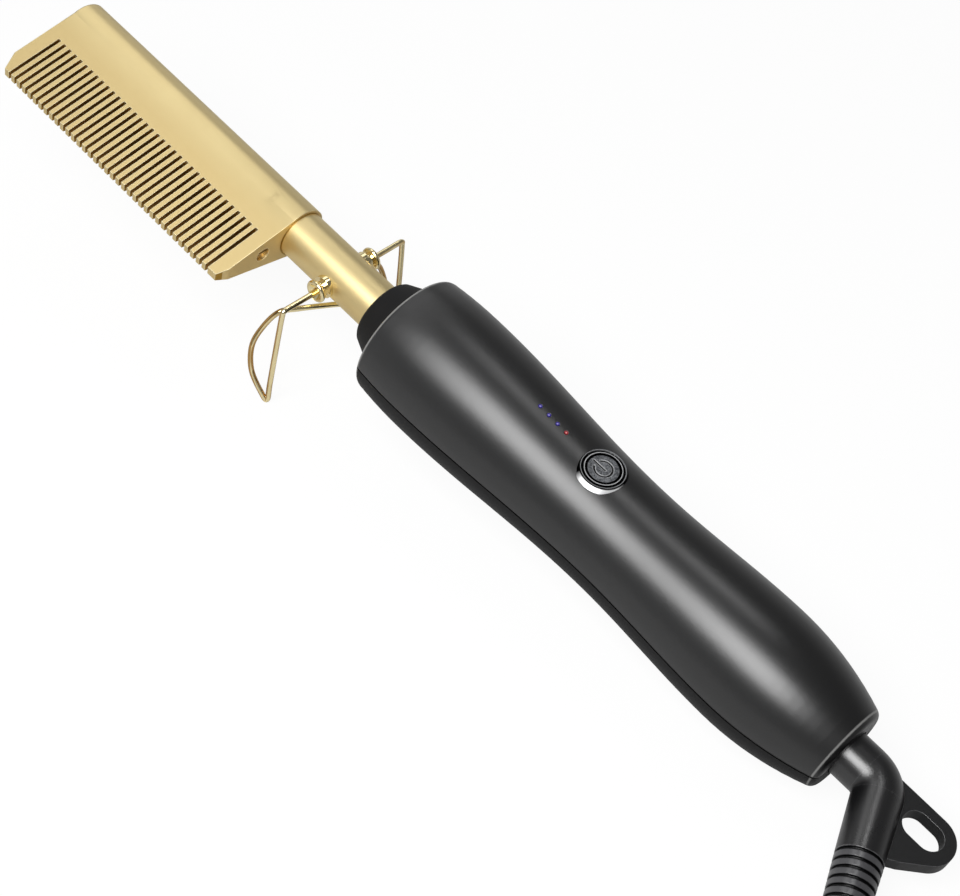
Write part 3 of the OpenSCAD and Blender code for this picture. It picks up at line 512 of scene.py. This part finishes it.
def elbow_black(colours):
    """Flexible moulding of the cord elbow, its tab and its ribs."""
    f = Finish("elbow_black")
    where = f.place()
    x, y, z = f.split(where)
    grain = f.noise(where, 2.6, 3.0, 0.6)
    flow = f.noise(f.stretch(where, (0.25, 0.25, 0.8)), 0.6, 2.0)
    rounded, edge = f.soft_edges(0.3, 0.04)
    wide, _ = f.soft_edges(2.5)
    # Along the strain relief from the elbow's corner, and outwards from its middle
    turn = (math.cos(ELBOW_TURN), math.sin(ELBOW_TURN))
    along = (x - ELBOW_CORNER) * turn[0] - y * turn[1]
    across = (x - ELBOW_CORNER) * turn[1] + y * turn[0]
    radius = RELIEF_RADIUS - (along - RIB_START) * RELIEF_TAPER
    tab = (abs(z) < TAB_HALF) * (across > TAB_START)
    ribbed = (along > RIB_START) * (1 - tab)
    rib = (length(across, z) - radius).ramp(-0.40, -0.12) * ribbed
    # A wide rounding hides the facets of the bend
    bend = x.ramp(ELBOW_CORNER - 9.0, ELBOW_CORNER - 4.0) * (across < TAB_START)
    bend = bend * along.ramp(RIB_START - 3.0, RIB_START - 8.0) * (1 - tab)
    tone = f.mix(colours.elbow, colours.elbow_tab, tab)
    # Painted highlight on the crests of the ribs
    tone = f.mix(tone, colours.elbow_rib_highlight, rib * (0.5 + 0.5 * grain))
    tone = f.mix(tone, colours.black_worn, 0.25 * grain)
    # Painted highlight along the rounded edges, away from the ribs
    tone = f.mix(tone, colours.elbow_edge_highlight, edge * (1 - ribbed))
    # Painted shade in the grooves between the ribs: mostly black, and metal so that little reflection shows
    groove_shade = ribbed * (1 - rib)
    return f.done(
        base_color=f.mix(tone, (0, 0, 0), groove_shade * 0.7),
        metallic=groove_shade * 0.65 + tab * 0.45,
        roughness=0.22 + 0.20 * tab + 0.08 * grain + 0.06 * flow,
        ior=1.75,
        normal=f.bump(grain * 0.5 + flow * 0.5, 0.03, f.blend(rounded, wide, bend)),
    )


def cord_rubber(colours):
    """Skin of the cord and the plug."""
    f = Finish("cord_rubber")
    where = f.place()
    grain = f.noise(where, 2.2, 3.0, 0.6)
    flow = f.noise(where, 0.15, 2.0)
    rounded, edge = f.soft_edges(0.2)
    tone = f.mix(colours.cord, colours.black_worn, 0.4 * flow + 0.2 * grain)
    return f.done(
        # Painted highlight along the rounded edges
        base_color=f.mix(tone, colours.black_edge_highlight, edge * 0.5),
        roughness=0.42 + 0.12 * grain,
        ior=1.5,
        normal=f.bump(grain, 0.012, rounded),
    )


def key_grey(colours):
    """Spark-eroded face of the button, with painted shade in its engraved mark, painted highlights along its
    edges and a painted shadow around its rim.
    """
    f = Finish("key_grey")
    where = f.place()
    x, y, z = f.split(where)
    grain = f.noise(where, 1.7, 3.0, 0.8)
    pits = f.cells(where, 2.2)
    rounded, edge = f.soft_edges(0.5, 0.01)
    # Painted shade on the floor of the engraved mark
    sunk = z.ramp(CAP_TOP - 0.05, CAP_TOP - 0.20)
    # Painted shade on the cap's outer rim beside the gap: black, and metal so that it keeps no reflection
    rim = length(x - BUTTON_X, y).ramp(CAP - 0.30, CAP - 0.18)
    tone = f.mix(colours.key, colours.key_light, grain.ramp(0.42, 0.64))
    tone = f.mix(tone, colours.black, sunk)
    # Painted highlight along the rounded edges, the mark's too, except on its floor
    tone = f.mix(tone, colours.key_edge_highlight, edge * (1 - sunk))
    return f.done(
        base_color=f.mix(tone, (0, 0, 0), rim),
        metallic=rim,
        roughness=0.50 + 0.14 * grain,
        ior=1.4,
        normal=f.bump(grain * 0.7 + pits * 0.3, 0.06, rounded),
    )


def bezel_black(colours):
    """Glossy bezel: a bright ring between dark grooves, a grey rim and a foot that sweeps out, with a
    painted highlight on one side of the foot.
    """
    f = Finish("bezel_black")
    where = f.place()
    x, y, _ = f.split(where)
    out = length(x - BUTTON_X, y)
    grain = f.noise(where, 5.0, 2.0)
    rounded, _ = f.soft_edges(0.1)
    ring = abs(out - BEZEL_RING).ramp(0.16, 0.10)
    rim = abs(out - (BEZEL_RIM - 0.22)).ramp(0.14, 0.08)
    foot = out.ramp(BEZEL_RIM - 0.06, BEZEL_RIM)
    tone = f.mix(f.mix(colours.black, colours.ring, ring), colours.rim, rim)
    # A painted highlight on the side of the foot towards the cord and the teeth
    lit_side = ((x - BUTTON_X) * 0.55 - y * 0.83).ramp(2.4, 4.4)
    painted_reflection = foot * lit_side * out.ramp(BEZEL_RIM + 0.12, BEZEL_RIM + 0.24)
    tone = f.mix(f.mix(tone, (0, 0, 0), foot), colours.foot, painted_reflection)
    sweep = out.ramp(BEZEL_RIM - 0.05, BEZEL_FOOT)
    return f.done(
        base_color=tone,
        metallic=(1 - ring) * (1 - rim) * (1 - painted_reflection * 0.5),
        roughness=0.20 + 0.10 * ring + 0.18 * foot + 0.05 * grain,
        ior=1.8,
        normal=f.bump(sweep ** 0.6, 1.0, rounded),
    )


def lens(name, deep, light, middles):
    """A light pipe's end: a deep colour around a bright middle."""
    f = Finish(name)
    where = f.place()
    x, y, _ = f.split(where)
    out = length(x - middles[0], y - LIGHTS_Y)
    for middle in middles[1:]:
        out = out.least(length(x - middle, y - LIGHTS_Y))
    core = out.ramp(0.34, 0.06)
    haze = f.noise(where, 3.0, 2.0)
    colour = f.mix(deep, light, core * (0.75 + 0.25 * haze))
    return f.done(
        base_color=colour,
        emission_color=colour,
        emission_strength=0.35,
        roughness=0.18 + 0.1 * haze,
        normal=f.bump(haze, 0.01),
    )


def plain_metal(name, colour, shade, roughness, along=(1.0, 1.0, 1.0)):
    """A turned or drawn metal with fine lines across it."""
    f = Finish(name)
    where = f.place()
    lines = f.noise(f.stretch(where, along), 3.0, 3.0)
    cloud = f.noise(where, 0.2, 2.0)
    rounded, edge = f.soft_edges(0.12)
    return f.done(
        base_color=f.mix(f.mix(colour, shade, 0.6 * cloud), (0.9, 0.9, 0.9), edge * 0.3),
        metallic=1.0,
        roughness=roughness + 0.12 * lines,
        normal=f.bump(lines, 0.006, rounded),
    )


def plain_moulding(name, colour, shade, roughness, grain_scale=3.0, depth=0.012):
    """A moulded or dipped part with fine grain and a little mottling."""
    f = Finish(name)
    where = f.place()
    grain = f.noise(where, grain_scale, 3.0, 0.6)
    cloud = f.noise(where, 0.25, 2.0)
    rounded, _ = f.soft_edges(0.15)
    return f.done(
        base_color=f.mix(colour, shade, 0.55 * cloud + 0.45 * grain),
        roughness=roughness + 0.12 * grain,
        normal=f.bump(grain, depth, rounded),
    )


def board_green(colours):
    """Solder mask with the tracks that show through it."""
    f = Finish("board_green")
    where = f.place()
    _, y, _ = f.split(where)
    lane = abs(f.maths("FRACT", y * 0.62) - 0.5)
    break_up = f.noise(f.stretch(where, (0.08, 0.55, 0.5)), 1.0, 0.0)
    track = (lane < 0.22) * (break_up > 0.5)
    weave = f.noise(where, 2.4, 2.0)
    tone = f.mix(colours.board, colours.board_track, track)
    return f.done(
        base_color=f.mix(tone, (0.01, 0.05, 0.02), 0.3 * weave),
        roughness=0.32 + 0.12 * weave,
        normal=f.bump(track * 0.8 + weave * 0.2, 0.03),
    )


def woven_sleeve():
    """Glass-fibre sleeve around the heater wires."""
    f = Finish("insulation")
    where = f.place()
    x, y, z = f.split(where)
    turn = f.maths("ARCTAN2", y, z) * 6.6
    first, second = (f.maths("SINE", way) for way in (x * 3.4 + turn, x * 3.4 - turn))
    weave = first * second * 0.5 + 0.5
    fuzz = f.noise(where, 5.0, 3.0)
    return f.done(
        base_color=f.mix((0.62, 0.56, 0.42), (0.85, 0.80, 0.68), weave),
        roughness=0.75 + 0.1 * fuzz,
        normal=f.bump(weave * 0.8 + fuzz * 0.2, 0.08),
    )


def white_floor():
    """Pale floor that stays white under the camera and keeps a soft shadow."""
    f = Finish("floor_white")
    where = f.node("TexCoord", out="Object")
    speck = f.noise(where, 40.0, 2.0)
    grey = f.mix((0.49, 0.49, 0.49), (0.52, 0.52, 0.52), speck)
    camera = f.node("LightPath", out="Is Camera Ray")
    matte = f.node("BsdfDiffuse", None, {"Color": f.mix(grey, (0.92, 0.92, 0.92), camera)})
    glow = f.node("Emission", None, {"Color": (1, 1, 1, 1), "Strength": 1.0})
    # Mostly its own white, and the rest of it takes the shadow
    both = f.node("MixShader", None, {0: f.background(0.93), 1: matte, 2: glow})
    f.node("OutputMaterial", None, {"Surface": both})
    return f.material


# ---- What a user may change ----


def length_property(name, description, default):
    """A length in the sidebar, in metres."""
    return bpy.props.FloatProperty(
        name=name,
        description=description,
        default=default,
        min=0.0,
        unit="LENGTH",
        subtype="DISTANCE",
        precision=5,
    )


def colour_property(name, description, default):
    """A colour in the sidebar."""
    return bpy.props.FloatVectorProperty(
        name=name,
        description=description,
        default=default,
        min=0.0,
        max=1.0,
        size=3,
        subtype="COLOR",
    )


class HotCombSizes(bpy.types.PropertyGroup):
    """Sizes of the pieces that are built here."""

    wire: length_property("Wire", "Thickness of the wire rest's wire", 0.0016)
    cord: length_property("Cord", "Diameter of the cord", 0.006)
    cord_length: length_property("Cord length", "Length of the cord from the elbow to the plug", 2.0)
    tie_width: length_property("Tie width", "Width of the tie around the coil", 0.009)
    tie_thickness: length_property("Tie thickness", "Thickness of the tie around the coil", 0.0005)
    plug_length: length_property("Plug length", "Length of the plug's moulding", 0.030)
    plug_width: length_property("Plug width", "Width of the plug's moulding", 0.020)
    plug_thickness: length_property("Plug thickness", "Thickness of the plug's moulding", 0.013)
    floor: length_property("Floor", "Width of the floor", 6.0)


class HotCombColours(bpy.types.PropertyGroup):
    """Colours of the finishes."""

    gold: colour_property("Gold", "Plating of the comb and the tube", (0.88, 0.72, 0.375))
    gold_shade: colour_property("Gold shade", "Darker patches of the plating", (0.77, 0.60, 0.29))
    gold_edge_highlight: colour_property("Gold light", "Edges of the plating", (1.0, 0.90, 0.60))
    bright_gold: colour_property("Bright gold", "Polished plating of the wire rest", (1.0, 0.86, 0.50))
    # Also the painted dark reflection along the wire rest's sides
    deep_gold_and_dark_reflection: colour_property("Deep gold", "Brown streaks of the polished plating", (0.45, 0.24, 0.06))
    # Painted shade of the slots' walls and of the tube's foot
    painted_shade: colour_property("Painted shade", "Walls of the slots between the teeth", (0.46, 0.27, 0.045))
    black: colour_property("Black", "Lacquer of the handle", (0.0015, 0.0015, 0.0017))
    black_worn: colour_property("Worn black", "Rubbed patches of the black parts", (0.009, 0.009, 0.0097))
    black_edge_highlight: colour_property("Black edge", "Edges of the black parts", (0.05, 0.05, 0.052))
    # Painted highlight lines on the roundings at the handle's two ends
    black_rim_highlight: colour_property("Black rim", "Rubbed lines around the handle's two ends", (0.20, 0.20, 0.195))
    elbow: colour_property("Elbow", "Moulding of the cord elbow", (0.004, 0.004, 0.0045))
    elbow_tab: colour_property("Tab", "Hanging tab of the elbow", (0.004, 0.0042, 0.0048))
    # Painted highlight on the crests of the ribs
    elbow_rib_highlight: colour_property("Rib", "Ribs of the strain relief", (0.070, 0.070, 0.075))
    elbow_edge_highlight: colour_property("Elbow edge", "Edges of the ribs, the tab and its slot", (0.16, 0.16, 0.165))
    cord: colour_property("Cord", "Skin of the cord and the plug", (0.014, 0.014, 0.015))
    key: colour_property("Button", "Face of the button", (0.034, 0.036, 0.040))
    key_light: colour_property("Button grain", "Light grain of the button", (0.17, 0.177, 0.188))
    key_edge_highlight: colour_property("Button edge", "Edges of the button and its mark", (0.42, 0.43, 0.44))
    ring: colour_property("Ring", "Bright ring inside the bezel", (0.27, 0.275, 0.28))
    rim: colour_property("Rim", "Outer rim of the bezel", (0.16, 0.165, 0.17))
    # Painted highlight on one side of the bezel's foot
    foot: colour_property("Foot", "Polished side of the bezel's foot", (0.80, 0.80, 0.81))
    blue: colour_property("Blue light", "Blue indicator lights", (0.016, 0.010, 0.14))
    blue_light: colour_property("Blue middle", "Bright middle of the blue lights", (0.27, 0.24, 0.55))
    red: colour_property("Red light", "Red indicator light", (0.17, 0.006, 0.010))
    red_light: colour_property("Red middle", "Bright middle of the red light", (0.62, 0.22, 0.22))
    board: colour_property("Board", "Solder mask of the circuit board", (0.012, 0.14, 0.045))
    board_track: colour_property("Track", "Copper tracks under the mask", (0.05, 0.26, 0.09))


def dress(finish, *names):
    """Gives nodes of the frame their finish."""
    for name in names:
        slots = frame["nodes"][name].data.materials
        slots.clear()
        slots.append(finish)


# ---- The pieces ----

# The coil's middle, then its turns in the order in which they are wound, as radius and height
COIL = Vector((214, -30, 0))
TURNS = [(39, 3), (33, 3), (27, 3), (27, 9), (33, 9), (39, 9), (39, 15), (33, 15), (27, 15)]
# The angle at which the first turn starts, how far the cord turns, and the step between points
JOIN = -100
COIL_TURNED = 8 * 360 + 230
COIL_STEP = 20
# The part of each turn in which the cord moves over to the next one, in degrees
SHIFT_START = 252
SHIFT = 96
# The middle of the bundle of turns, as radius and height, half its size, and the tie's angle
BUNDLE = Vector((33, 9)) * MM
BUNDLE_HALF = 0.0092
TIE_ANGLE = math.radians(92)
# The bend in which the cord's end runs over the coil, its angles and heights, and the plug
TAIL = COIL + Vector((2, -8, 0))
TAIL_RADIUS = 28
TAIL_KNOTS = [(-165, 21), (-140, 21), (-115, 21), (-90, 21), (-65, 21), (-42, 21.5), (-20, 23.4)]
PLUG = Vector((244, -38, 24.5)) * MM
PLUG_TURN = math.radians(90)
# How much the drawn wire's radius is under half the wire's thickness, in metres
WIRE_CLEARANCE = 0.00001


def relief_point(way):
    """A point on the strain relief's middle line, that many millimetres past the elbow's corner."""
    return on_tool(ELBOW_CORNER + way * math.cos(ELBOW_TURN), -way * math.sin(ELBOW_TURN), 0)


def level_point(middle, radius, angle, height):
    """A point on a level circle, from millimetres and degrees to metres."""
    a = math.radians(angle)
    return Vector((middle.x + radius * math.cos(a), middle.y + radius * math.sin(a), height)) * MM


def coil_points():
    """The coil's middle line."""
    points = []
    for turned in range(0, COIL_TURNED, COIL_STEP):
        whole, part = divmod(turned, 360)
        t = ease((part - SHIFT_START) / SHIFT)
        (r0, z0), (r1, z1) = TURNS[whole], TURNS[min(whole + 1, len(TURNS) - 1)]
        points.append(level_point(COIL, r0 + (r1 - r0) * t, JOIN + turned, z0 + (z1 - z0) * t))
    return points


def in_metres(points):
    """Points in millimetres as vectors in metres."""
    return [Vector(p) * MM for p in points]


class HOTCOMB_OT_cord(bpy.types.Operator):
    """Lay the cord on the floor, coil it up and tie it, and end it in its plug"""

    bl_idname = "hotcomb.cord"
    bl_label = "Cord, tie and plug"

    def execute(self, context):
        sizes, colours = context.scene.hotcomb_sizes, context.scene.hotcomb_colours
        # Out of the strain relief, down to the surface, and after the turns up onto them
        lead = [relief_point(RELIEF_END + way) for way in (-12, 0, 5)]
        lead += in_metres([(170.4, -49, 8.6), (181, -58.1, 5.6), (193.6, -64.6, 3.6)])
        tail = [level_point(COIL, TURNS[-1][0], *knot) for knot in ((150, 17.1), (172, 20.2))]
        tail += [level_point(TAIL, TAIL_RADIUS, *knot) for knot in TAIL_KNOTS]
        points = lead + coil_points() + tail + [PLUG]
        cord = round_curve("cord", points, sizes.cord / 2, 5, "BEZIER", 4)
        skin = cord_rubber(colours)
        cord.data.materials.append(skin)
        plug = self.plug(sizes, skin)
        strap = plain_moulding("tie_strap", (0.02, 0.02, 0.021), (0.05, 0.05, 0.05), 0.7, 4.0, 0.06)
        tie = self.tie(sizes, strap)
        dress(plain_metal("nickel", (0.66, 0.64, 0.60), (0.55, 0.53, 0.50), 0.22), "plug_blades")
        for piece in (cord, plug, tie):
            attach(piece, "elbow")
        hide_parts("cord_lead", "cord_coil", "cord_tail")
        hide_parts("plug_body")
        return {"FINISHED"}

    def plug(self, sizes, skin):
        """The plug's moulding: a ribbed neck, then a grip that swells into a flat face."""
        turn = Matrix.Rotation(PLUG_TURN, 3, "Z")
        long, wide, thick = sizes.plug_length, sizes.plug_width / 2, sizes.plug_thickness / 2
        neck = 0.47 * long
        steps = 64
        rings = []
        for i in range(steps + 1):
            x = long * i / steps
            if x < neck:
                half_w = half_t = self.neck(x / neck, thick)
                power = 2.0
            else:
                half_w, half_t, power = self.grip((x - neck) / (long - neck), wide, thick)
            ring = rounded_box_ring(half_w, half_t, power)
            rings.append([PLUG + turn @ Vector((x, a, b)) for a, b in ring])
        plug = lofted("plug_moulding", rings)
        plug.data.materials.append(skin)
        return plug

    def neck(self, t, thick):
        """The neck's radius, which grows towards the grip under its ribs."""
        start, end = 0.0040, thick - 0.0018
        ribs, height, last = 5, 0.0004, 0.85
        rib = height * (0.5 + 0.5 * math.cos(2 * math.pi * t * ribs)) * (t < last)
        return start + (end - start) * t + rib

    def grip(self, t, wide, thick):
        """The grip's half width and half thickness, and how square it is."""
        shoulder, swell = 0.0014, 0.35
        hollow, hollows, first, last = 0.00035, 4, 0.40, 0.86
        round_over, face = 0.0009, 0.93
        s = ease(t / swell)
        half_w = (thick - shoulder) + (wide - thick + shoulder) * s
        half_t = (thick - shoulder) + shoulder * s
        # Hollows for the fingers
        if first < t < last:
            way = (t - first) / (last - first)
            half_t -= hollow * (0.5 - 0.5 * math.cos(2 * math.pi * way * hollows))
        # The rounded edge of the face
        shrink = round_over * (max(t - face, 0) / (1 - face)) ** 2
        return half_w - shrink, half_t - shrink, 2.0 + 2.6 * s

    def tie(self, sizes, strap):
        """The strap around the coil's bundle of turns."""
        wide, thick = sizes.tie_width / 2, sizes.tie_thickness
        rings = []
        # The inside and the outside at each of its two edges, held just clear of the surface
        inner, outer = (0, 0.0003), (thick, 0.00005)
        for side, (grow, least) in ((-1, inner), (-1, outer), (1, outer), (1, inner)):
            a = TIE_ANGLE + side * wide / BUNDLE.x
            half = BUNDLE_HALF + grow
            ring = []
            for u, w in rounded_box_ring(half, half, 7.0, 64):
                r, z = BUNDLE.x + u, max(BUNDLE.y + w, least)
                ring.append(COIL * MM + Vector((r * math.cos(a), r * math.sin(a), z)))
            rings.append(ring)
        tie = lofted("cord_tie", rings, closed=True)
        tie.data.materials.append(strap)
        return tie


class HOTCOMB_OT_wire_rest(bpy.types.Operator):
    """Bend the wire rest from one round wire"""

    bl_idname = "hotcomb.wire_rest"
    bl_label = "Wire rest"

    def execute(self, context):
        sizes, colours = context.scene.hotcomb_sizes, context.scene.hotcomb_colours
        # Half the width at the pivot and at the feet, the feet's depth, how far they lean back and
        # the return leg bows forward, and the cross wire's depth
        half, foot, drop, back, bow, cross = 22, 24.6, 34.3, 2.2, 7.3, 8.2
        # One side: out of the bush, down to the foot, up the return leg and in under the tube
        side = [
            (0, -5.2, 0),
            (0, -half + 4, 0),
            (0, -half + 1.6, 0),
            (0.05, -half + 0.3, -0.35),
            (0.1, -half, -1.7),
            (back * 0.3, -half - (foot - half) * 0.3, -drop * 0.3),
            (back * 0.8, -foot + (foot - half) * 0.2, -drop * 0.8),
            (back, -foot, -drop),
            (0.2, -foot - 0.7, -drop + 1.7),
            (-bow * 0.6, -foot - 1, -drop * 0.79),
            (-bow * 0.95, -foot + 0.4, -drop * 0.59),
            (-bow, -half + 1, -drop * 0.44),
            (-bow * 0.78, -half + 4.8, -cross - 1.2),
            (-bow * 0.4, -half + 9.4, -cross),
            (1.2, -4.4, -cross),
            (2.6, -1.6, -cross),
        ]
        both = side + [(x, -y, z) for x, y, z in reversed(side)]
        line = [on_tool(*p) for p in smooth_line([Vector(p) for p in both], 10)]
        wire = round_curve("wire_rest_wire", line, sizes.wire / 2 - WIRE_CLEARANCE, 6)
        wire.data.materials.append(bright_gold("wire_gold", colours, 0.9))
        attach(wire, "wire_rest")
        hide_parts("wire_rest")
        dress(bright_gold("bush_gold", colours, 0.25), "pivot_bushes")
        return {"FINISHED"}


class HOTCOMB_OT_comb_and_tube(bpy.types.Operator):
    """Finish the comb head, its screw and the tube in gold"""

    bl_idname = "hotcomb.comb_and_tube"
    bl_label = "Comb head and tube"

    def execute(self, context):
        colours = context.scene.hotcomb_colours
        dress(satin_gold(colours), "comb_head", "tube")
        dress(screw_gold(colours), "comb_screw")
        return {"FINISHED"}


class HOTCOMB_OT_handle(bpy.types.Operator):
    """Finish the handle's shells, the collar and the cord elbow in black"""

    bl_idname = "hotcomb.handle"
    bl_label = "Handle, collar and elbow"

    def execute(self, context):
        colours = context.scene.hotcomb_colours
        dress(satin_black("satin_black", colours, 0.29, 1.68, 0.012), "handle_top_shell")
        dress(satin_black("grained_black", colours, 0.50, 1.28, 0.03), "handle_bottom_shell")
        dress(matte_black(colours), "collar")
        dress(elbow_black(colours), "cord_elbow")
        return {"FINISHED"}


class HOTCOMB_OT_controls(bpy.types.Operator):
    """Finish the button, its bezel and the indicator lights"""

    bl_idname = "hotcomb.controls"
    bl_label = "Button and lights"

    def execute(self, context):
        colours = context.scene.hotcomb_colours
        dress(key_grey(colours), "button_cap")
        dress(bezel_black(colours), "button_bezel")
        dress(lens("blue_lens", colours.blue, colours.blue_light, BLUE_LIGHTS), "blue_light_pipes")
        dress(lens("red_lens", colours.red, colours.red_light, [RED_LIGHT]), "red_light_pipe")
        return {"FINISHED"}


class HOTCOMB_OT_inner_parts(bpy.types.Operator):
    """Finish the parts inside the tool"""

    bl_idname = "hotcomb.inner_parts"
    bl_label = "Inner parts"

    def execute(self, context):
        colours = context.scene.hotcomb_colours
        steel = plain_metal("steel", (0.60, 0.60, 0.61), (0.48, 0.48, 0.50), 0.24, (1.0, 0.3, 1.0))
        dress(steel, "shell_screws", "board_screws", "heating_cartridge", "thermal_fuse")
        copper = plain_metal("copper", (0.86, 0.47, 0.30), (0.66, 0.33, 0.19), 0.22)
        dress(copper, "contact_rings")
        dress(woven_sleeve(), "wire_sleeve")
        dress(board_green(colours), "circuit_board")
        black = plain_moulding("part_black", (0.018, 0.018, 0.020), (0.04, 0.04, 0.042), 0.45)
        dress(black, "board_parts", "switch_housing")
        white = plain_moulding("white_plastic", (0.76, 0.75, 0.71), (0.66, 0.65, 0.60), 0.38)
        dress(white, "switch_plunger", "indicator_leds", "temperature_sensor")
        resin = plain_moulding("holder_resin", (0.20, 0.10, 0.045), (0.32, 0.18, 0.09), 0.5, 1.6)
        dress(resin, "tube_holder", "swivel_socket")
        green = plain_moulding("terminal_green", (0.05, 0.27, 0.12), (0.03, 0.19, 0.08), 0.42)
        dress(green, "terminal_block")
        skin = plain_moulding("wire_skin", (0.74, 0.72, 0.66), (0.60, 0.57, 0.50), 0.5, 2.0)
        dress(skin, "heater_wires", "supply_wires")
        return {"FINISHED"}


# The camera's place, its right and its down, in the tool's own axes
CAMERA_PLACE = (227.617, -278.988, 409.157)
CAMERA_RIGHT = Vector((0.68484, 0.70377, 0.18895))
CAMERA_DOWN = Vector((0.65616, -0.48279, -0.57998))
# Each lamp's place and the point it shines at, in the tool's own axes, its size in metres and
# its radiance
LAMPS = [
    ("key", (70, -420, 630), (90, 0, 0), (0.54, 0.44), 7.6),
    ("fill", (-490, 240, 600), (-60, 0, 0), (0.30, 0.80), 0.78),
    ("top", (-56, 255, 600), (200, -30, 0), (0.16, 0.16), 3.2),
]
# Watts that a square metre of lamp takes for a radiance of 1, as the renderer counts them
LAMP_WATTS = 4
# The sky's level at the horizon, and how much more of it there is on the comb's side
HORIZON = 0.32
BRIGHT_SIDE = 0.41


class HOTCOMB_OT_camera(bpy.types.Operator):
    """Set up the camera that looks down along the tool"""

    bl_idname = "hotcomb.camera"
    bl_label = "Camera"

    def execute(self, context):
        data = bpy.data.cameras.new("camera")
        data.lens, data.sensor_width = 75.0, 36.0
        data.clip_start, data.clip_end = 0.02, 20.0
        camera = bpy.data.objects.new("camera", data)
        context.scene.collection.objects.link(camera)
        ahead = CAMERA_RIGHT.cross(CAMERA_DOWN)
        turn = TOOL_TURN @ Matrix((CAMERA_RIGHT, -CAMERA_DOWN, -ahead)).transposed()
        camera.matrix_world = Matrix.Translation(on_tool(*CAMERA_PLACE)) @ turn.to_4x4()
        context.scene.camera = camera
        return {"FINISHED"}


class HOTCOMB_OT_stage(bpy.types.Operator):
    """Set up the floor, the lamps and the sky"""

    bl_idname = "hotcomb.stage"
    bl_label = "Floor and lamps"

    def execute(self, context):
        half = context.scene.hotcomb_sizes.floor / 2
        mesh = bpy.data.meshes.new("floor")
        corners = [(-half, -half, 0), (half, -half, 0), (half, half, 0), (-half, half, 0)]
        mesh.from_pydata(corners, [], [(0, 1, 2, 3)])
        floor = bpy.data.objects.new("floor", mesh)
        context.scene.collection.objects.link(floor)
        mesh.materials.append(white_floor())
        for lamp in LAMPS:
            self.softbox(*lamp)
        self.sky(context.scene)
        context.scene.view_settings.view_transform = "Standard"
        return {"FINISHED"}

    def softbox(self, name, place, aim, size, radiance):
        """A flat lamp at a place that shines at another, both in the tool's own axes."""
        data = bpy.data.lights.new(name, "AREA")
        data.shape = "RECTANGLE"
        data.size, data.size_y = size
        data.energy = radiance * LAMP_WATTS * size[0] * size[1]
        lamp = bpy.data.objects.new(name, data)
        bpy.context.scene.collection.objects.link(lamp)
        back = (on_tool(*place) - on_tool(*aim)).normalized()
        side = (ALONG - back * ALONG.dot(back)).normalized()
        turn = Matrix((side, back.cross(side), back)).transposed()
        lamp.matrix_world = Matrix.Translation(on_tool(*place)) @ turn.to_4x4()

    def sky(self, scene):
        """Grey surroundings, lightest low down and on the comb's side, but white to the camera."""
        world = bpy.data.worlds.new("studio")
        scene.world = world
        f = Finish("studio", world)
        x, _, z = f.split(f.node("TexCoord", out="Generated"))
        high = z.ramp(0.05, 0.45)
        side = x.ramp(-0.34, -0.50)
        level = HORIZON * (1 - high) + BRIGHT_SIDE * side * (1 - 0.4 * high)
        grey = f.mix((0, 0, 0), (1, 1, 1), level)
        colour = f.mix(grey, (1, 1, 1), f.background(1.0))
        back = f.node("Background", None, {"Color": colour, "Strength": 1.0})
        f.node("OutputWorld", None, {"Surface": back})


OPERATORS = [
    HOTCOMB_OT_camera,
    HOTCOMB_OT_cord,
    HOTCOMB_OT_wire_rest,
    HOTCOMB_OT_comb_and_tube,
    HOTCOMB_OT_handle,
    HOTCOMB_OT_controls,
    HOTCOMB_OT_inner_parts,
    HOTCOMB_OT_stage,
]


class HOTCOMB_PT_panel(bpy.types.Panel):
    """Pieces, sizes and colours of the hot comb"""

    bl_idname = "HOTCOMB_PT_panel"
    bl_label = "Hot comb"
    bl_space_type = "VIEW_3D"
    bl_region_type = "UI"
    bl_category = "Hot comb"

    def draw(self, context):
        for operator in OPERATORS:
            self.layout.operator(operator.bl_idname)
        for group in (context.scene.hotcomb_sizes, context.scene.hotcomb_colours):
            box = self.layout.box()
            for name in group.__annotations__:
                box.prop(group, name)


CLASSES = [HotCombSizes, HotCombColours, *OPERATORS, HOTCOMB_PT_panel]


def register():
    for cls in CLASSES:
        bpy.utils.register_class(cls)
    bpy.types.Scene.hotcomb_sizes = bpy.props.PointerProperty(type=HotCombSizes)
    bpy.types.Scene.hotcomb_colours = bpy.props.PointerProperty(type=HotCombColours)


def unregister():
    del bpy.types.Scene.hotcomb_colours
    del bpy.types.Scene.hotcomb_sizes
    for cls in reversed(CLASSES):
        bpy.utils.unregister_class(cls)


def main():
    register()
    bpy.ops.hotcomb.camera()
    bpy.ops.hotcomb.cord()
    bpy.ops.hotcomb.wire_rest()
    bpy.ops.hotcomb.comb_and_tube()
    bpy.ops.hotcomb.handle()
    bpy.ops.hotcomb.controls()
    bpy.ops.hotcomb.inner_parts()
    bpy.ops.hotcomb.stage()


if __name__ == "__main__":
    main()
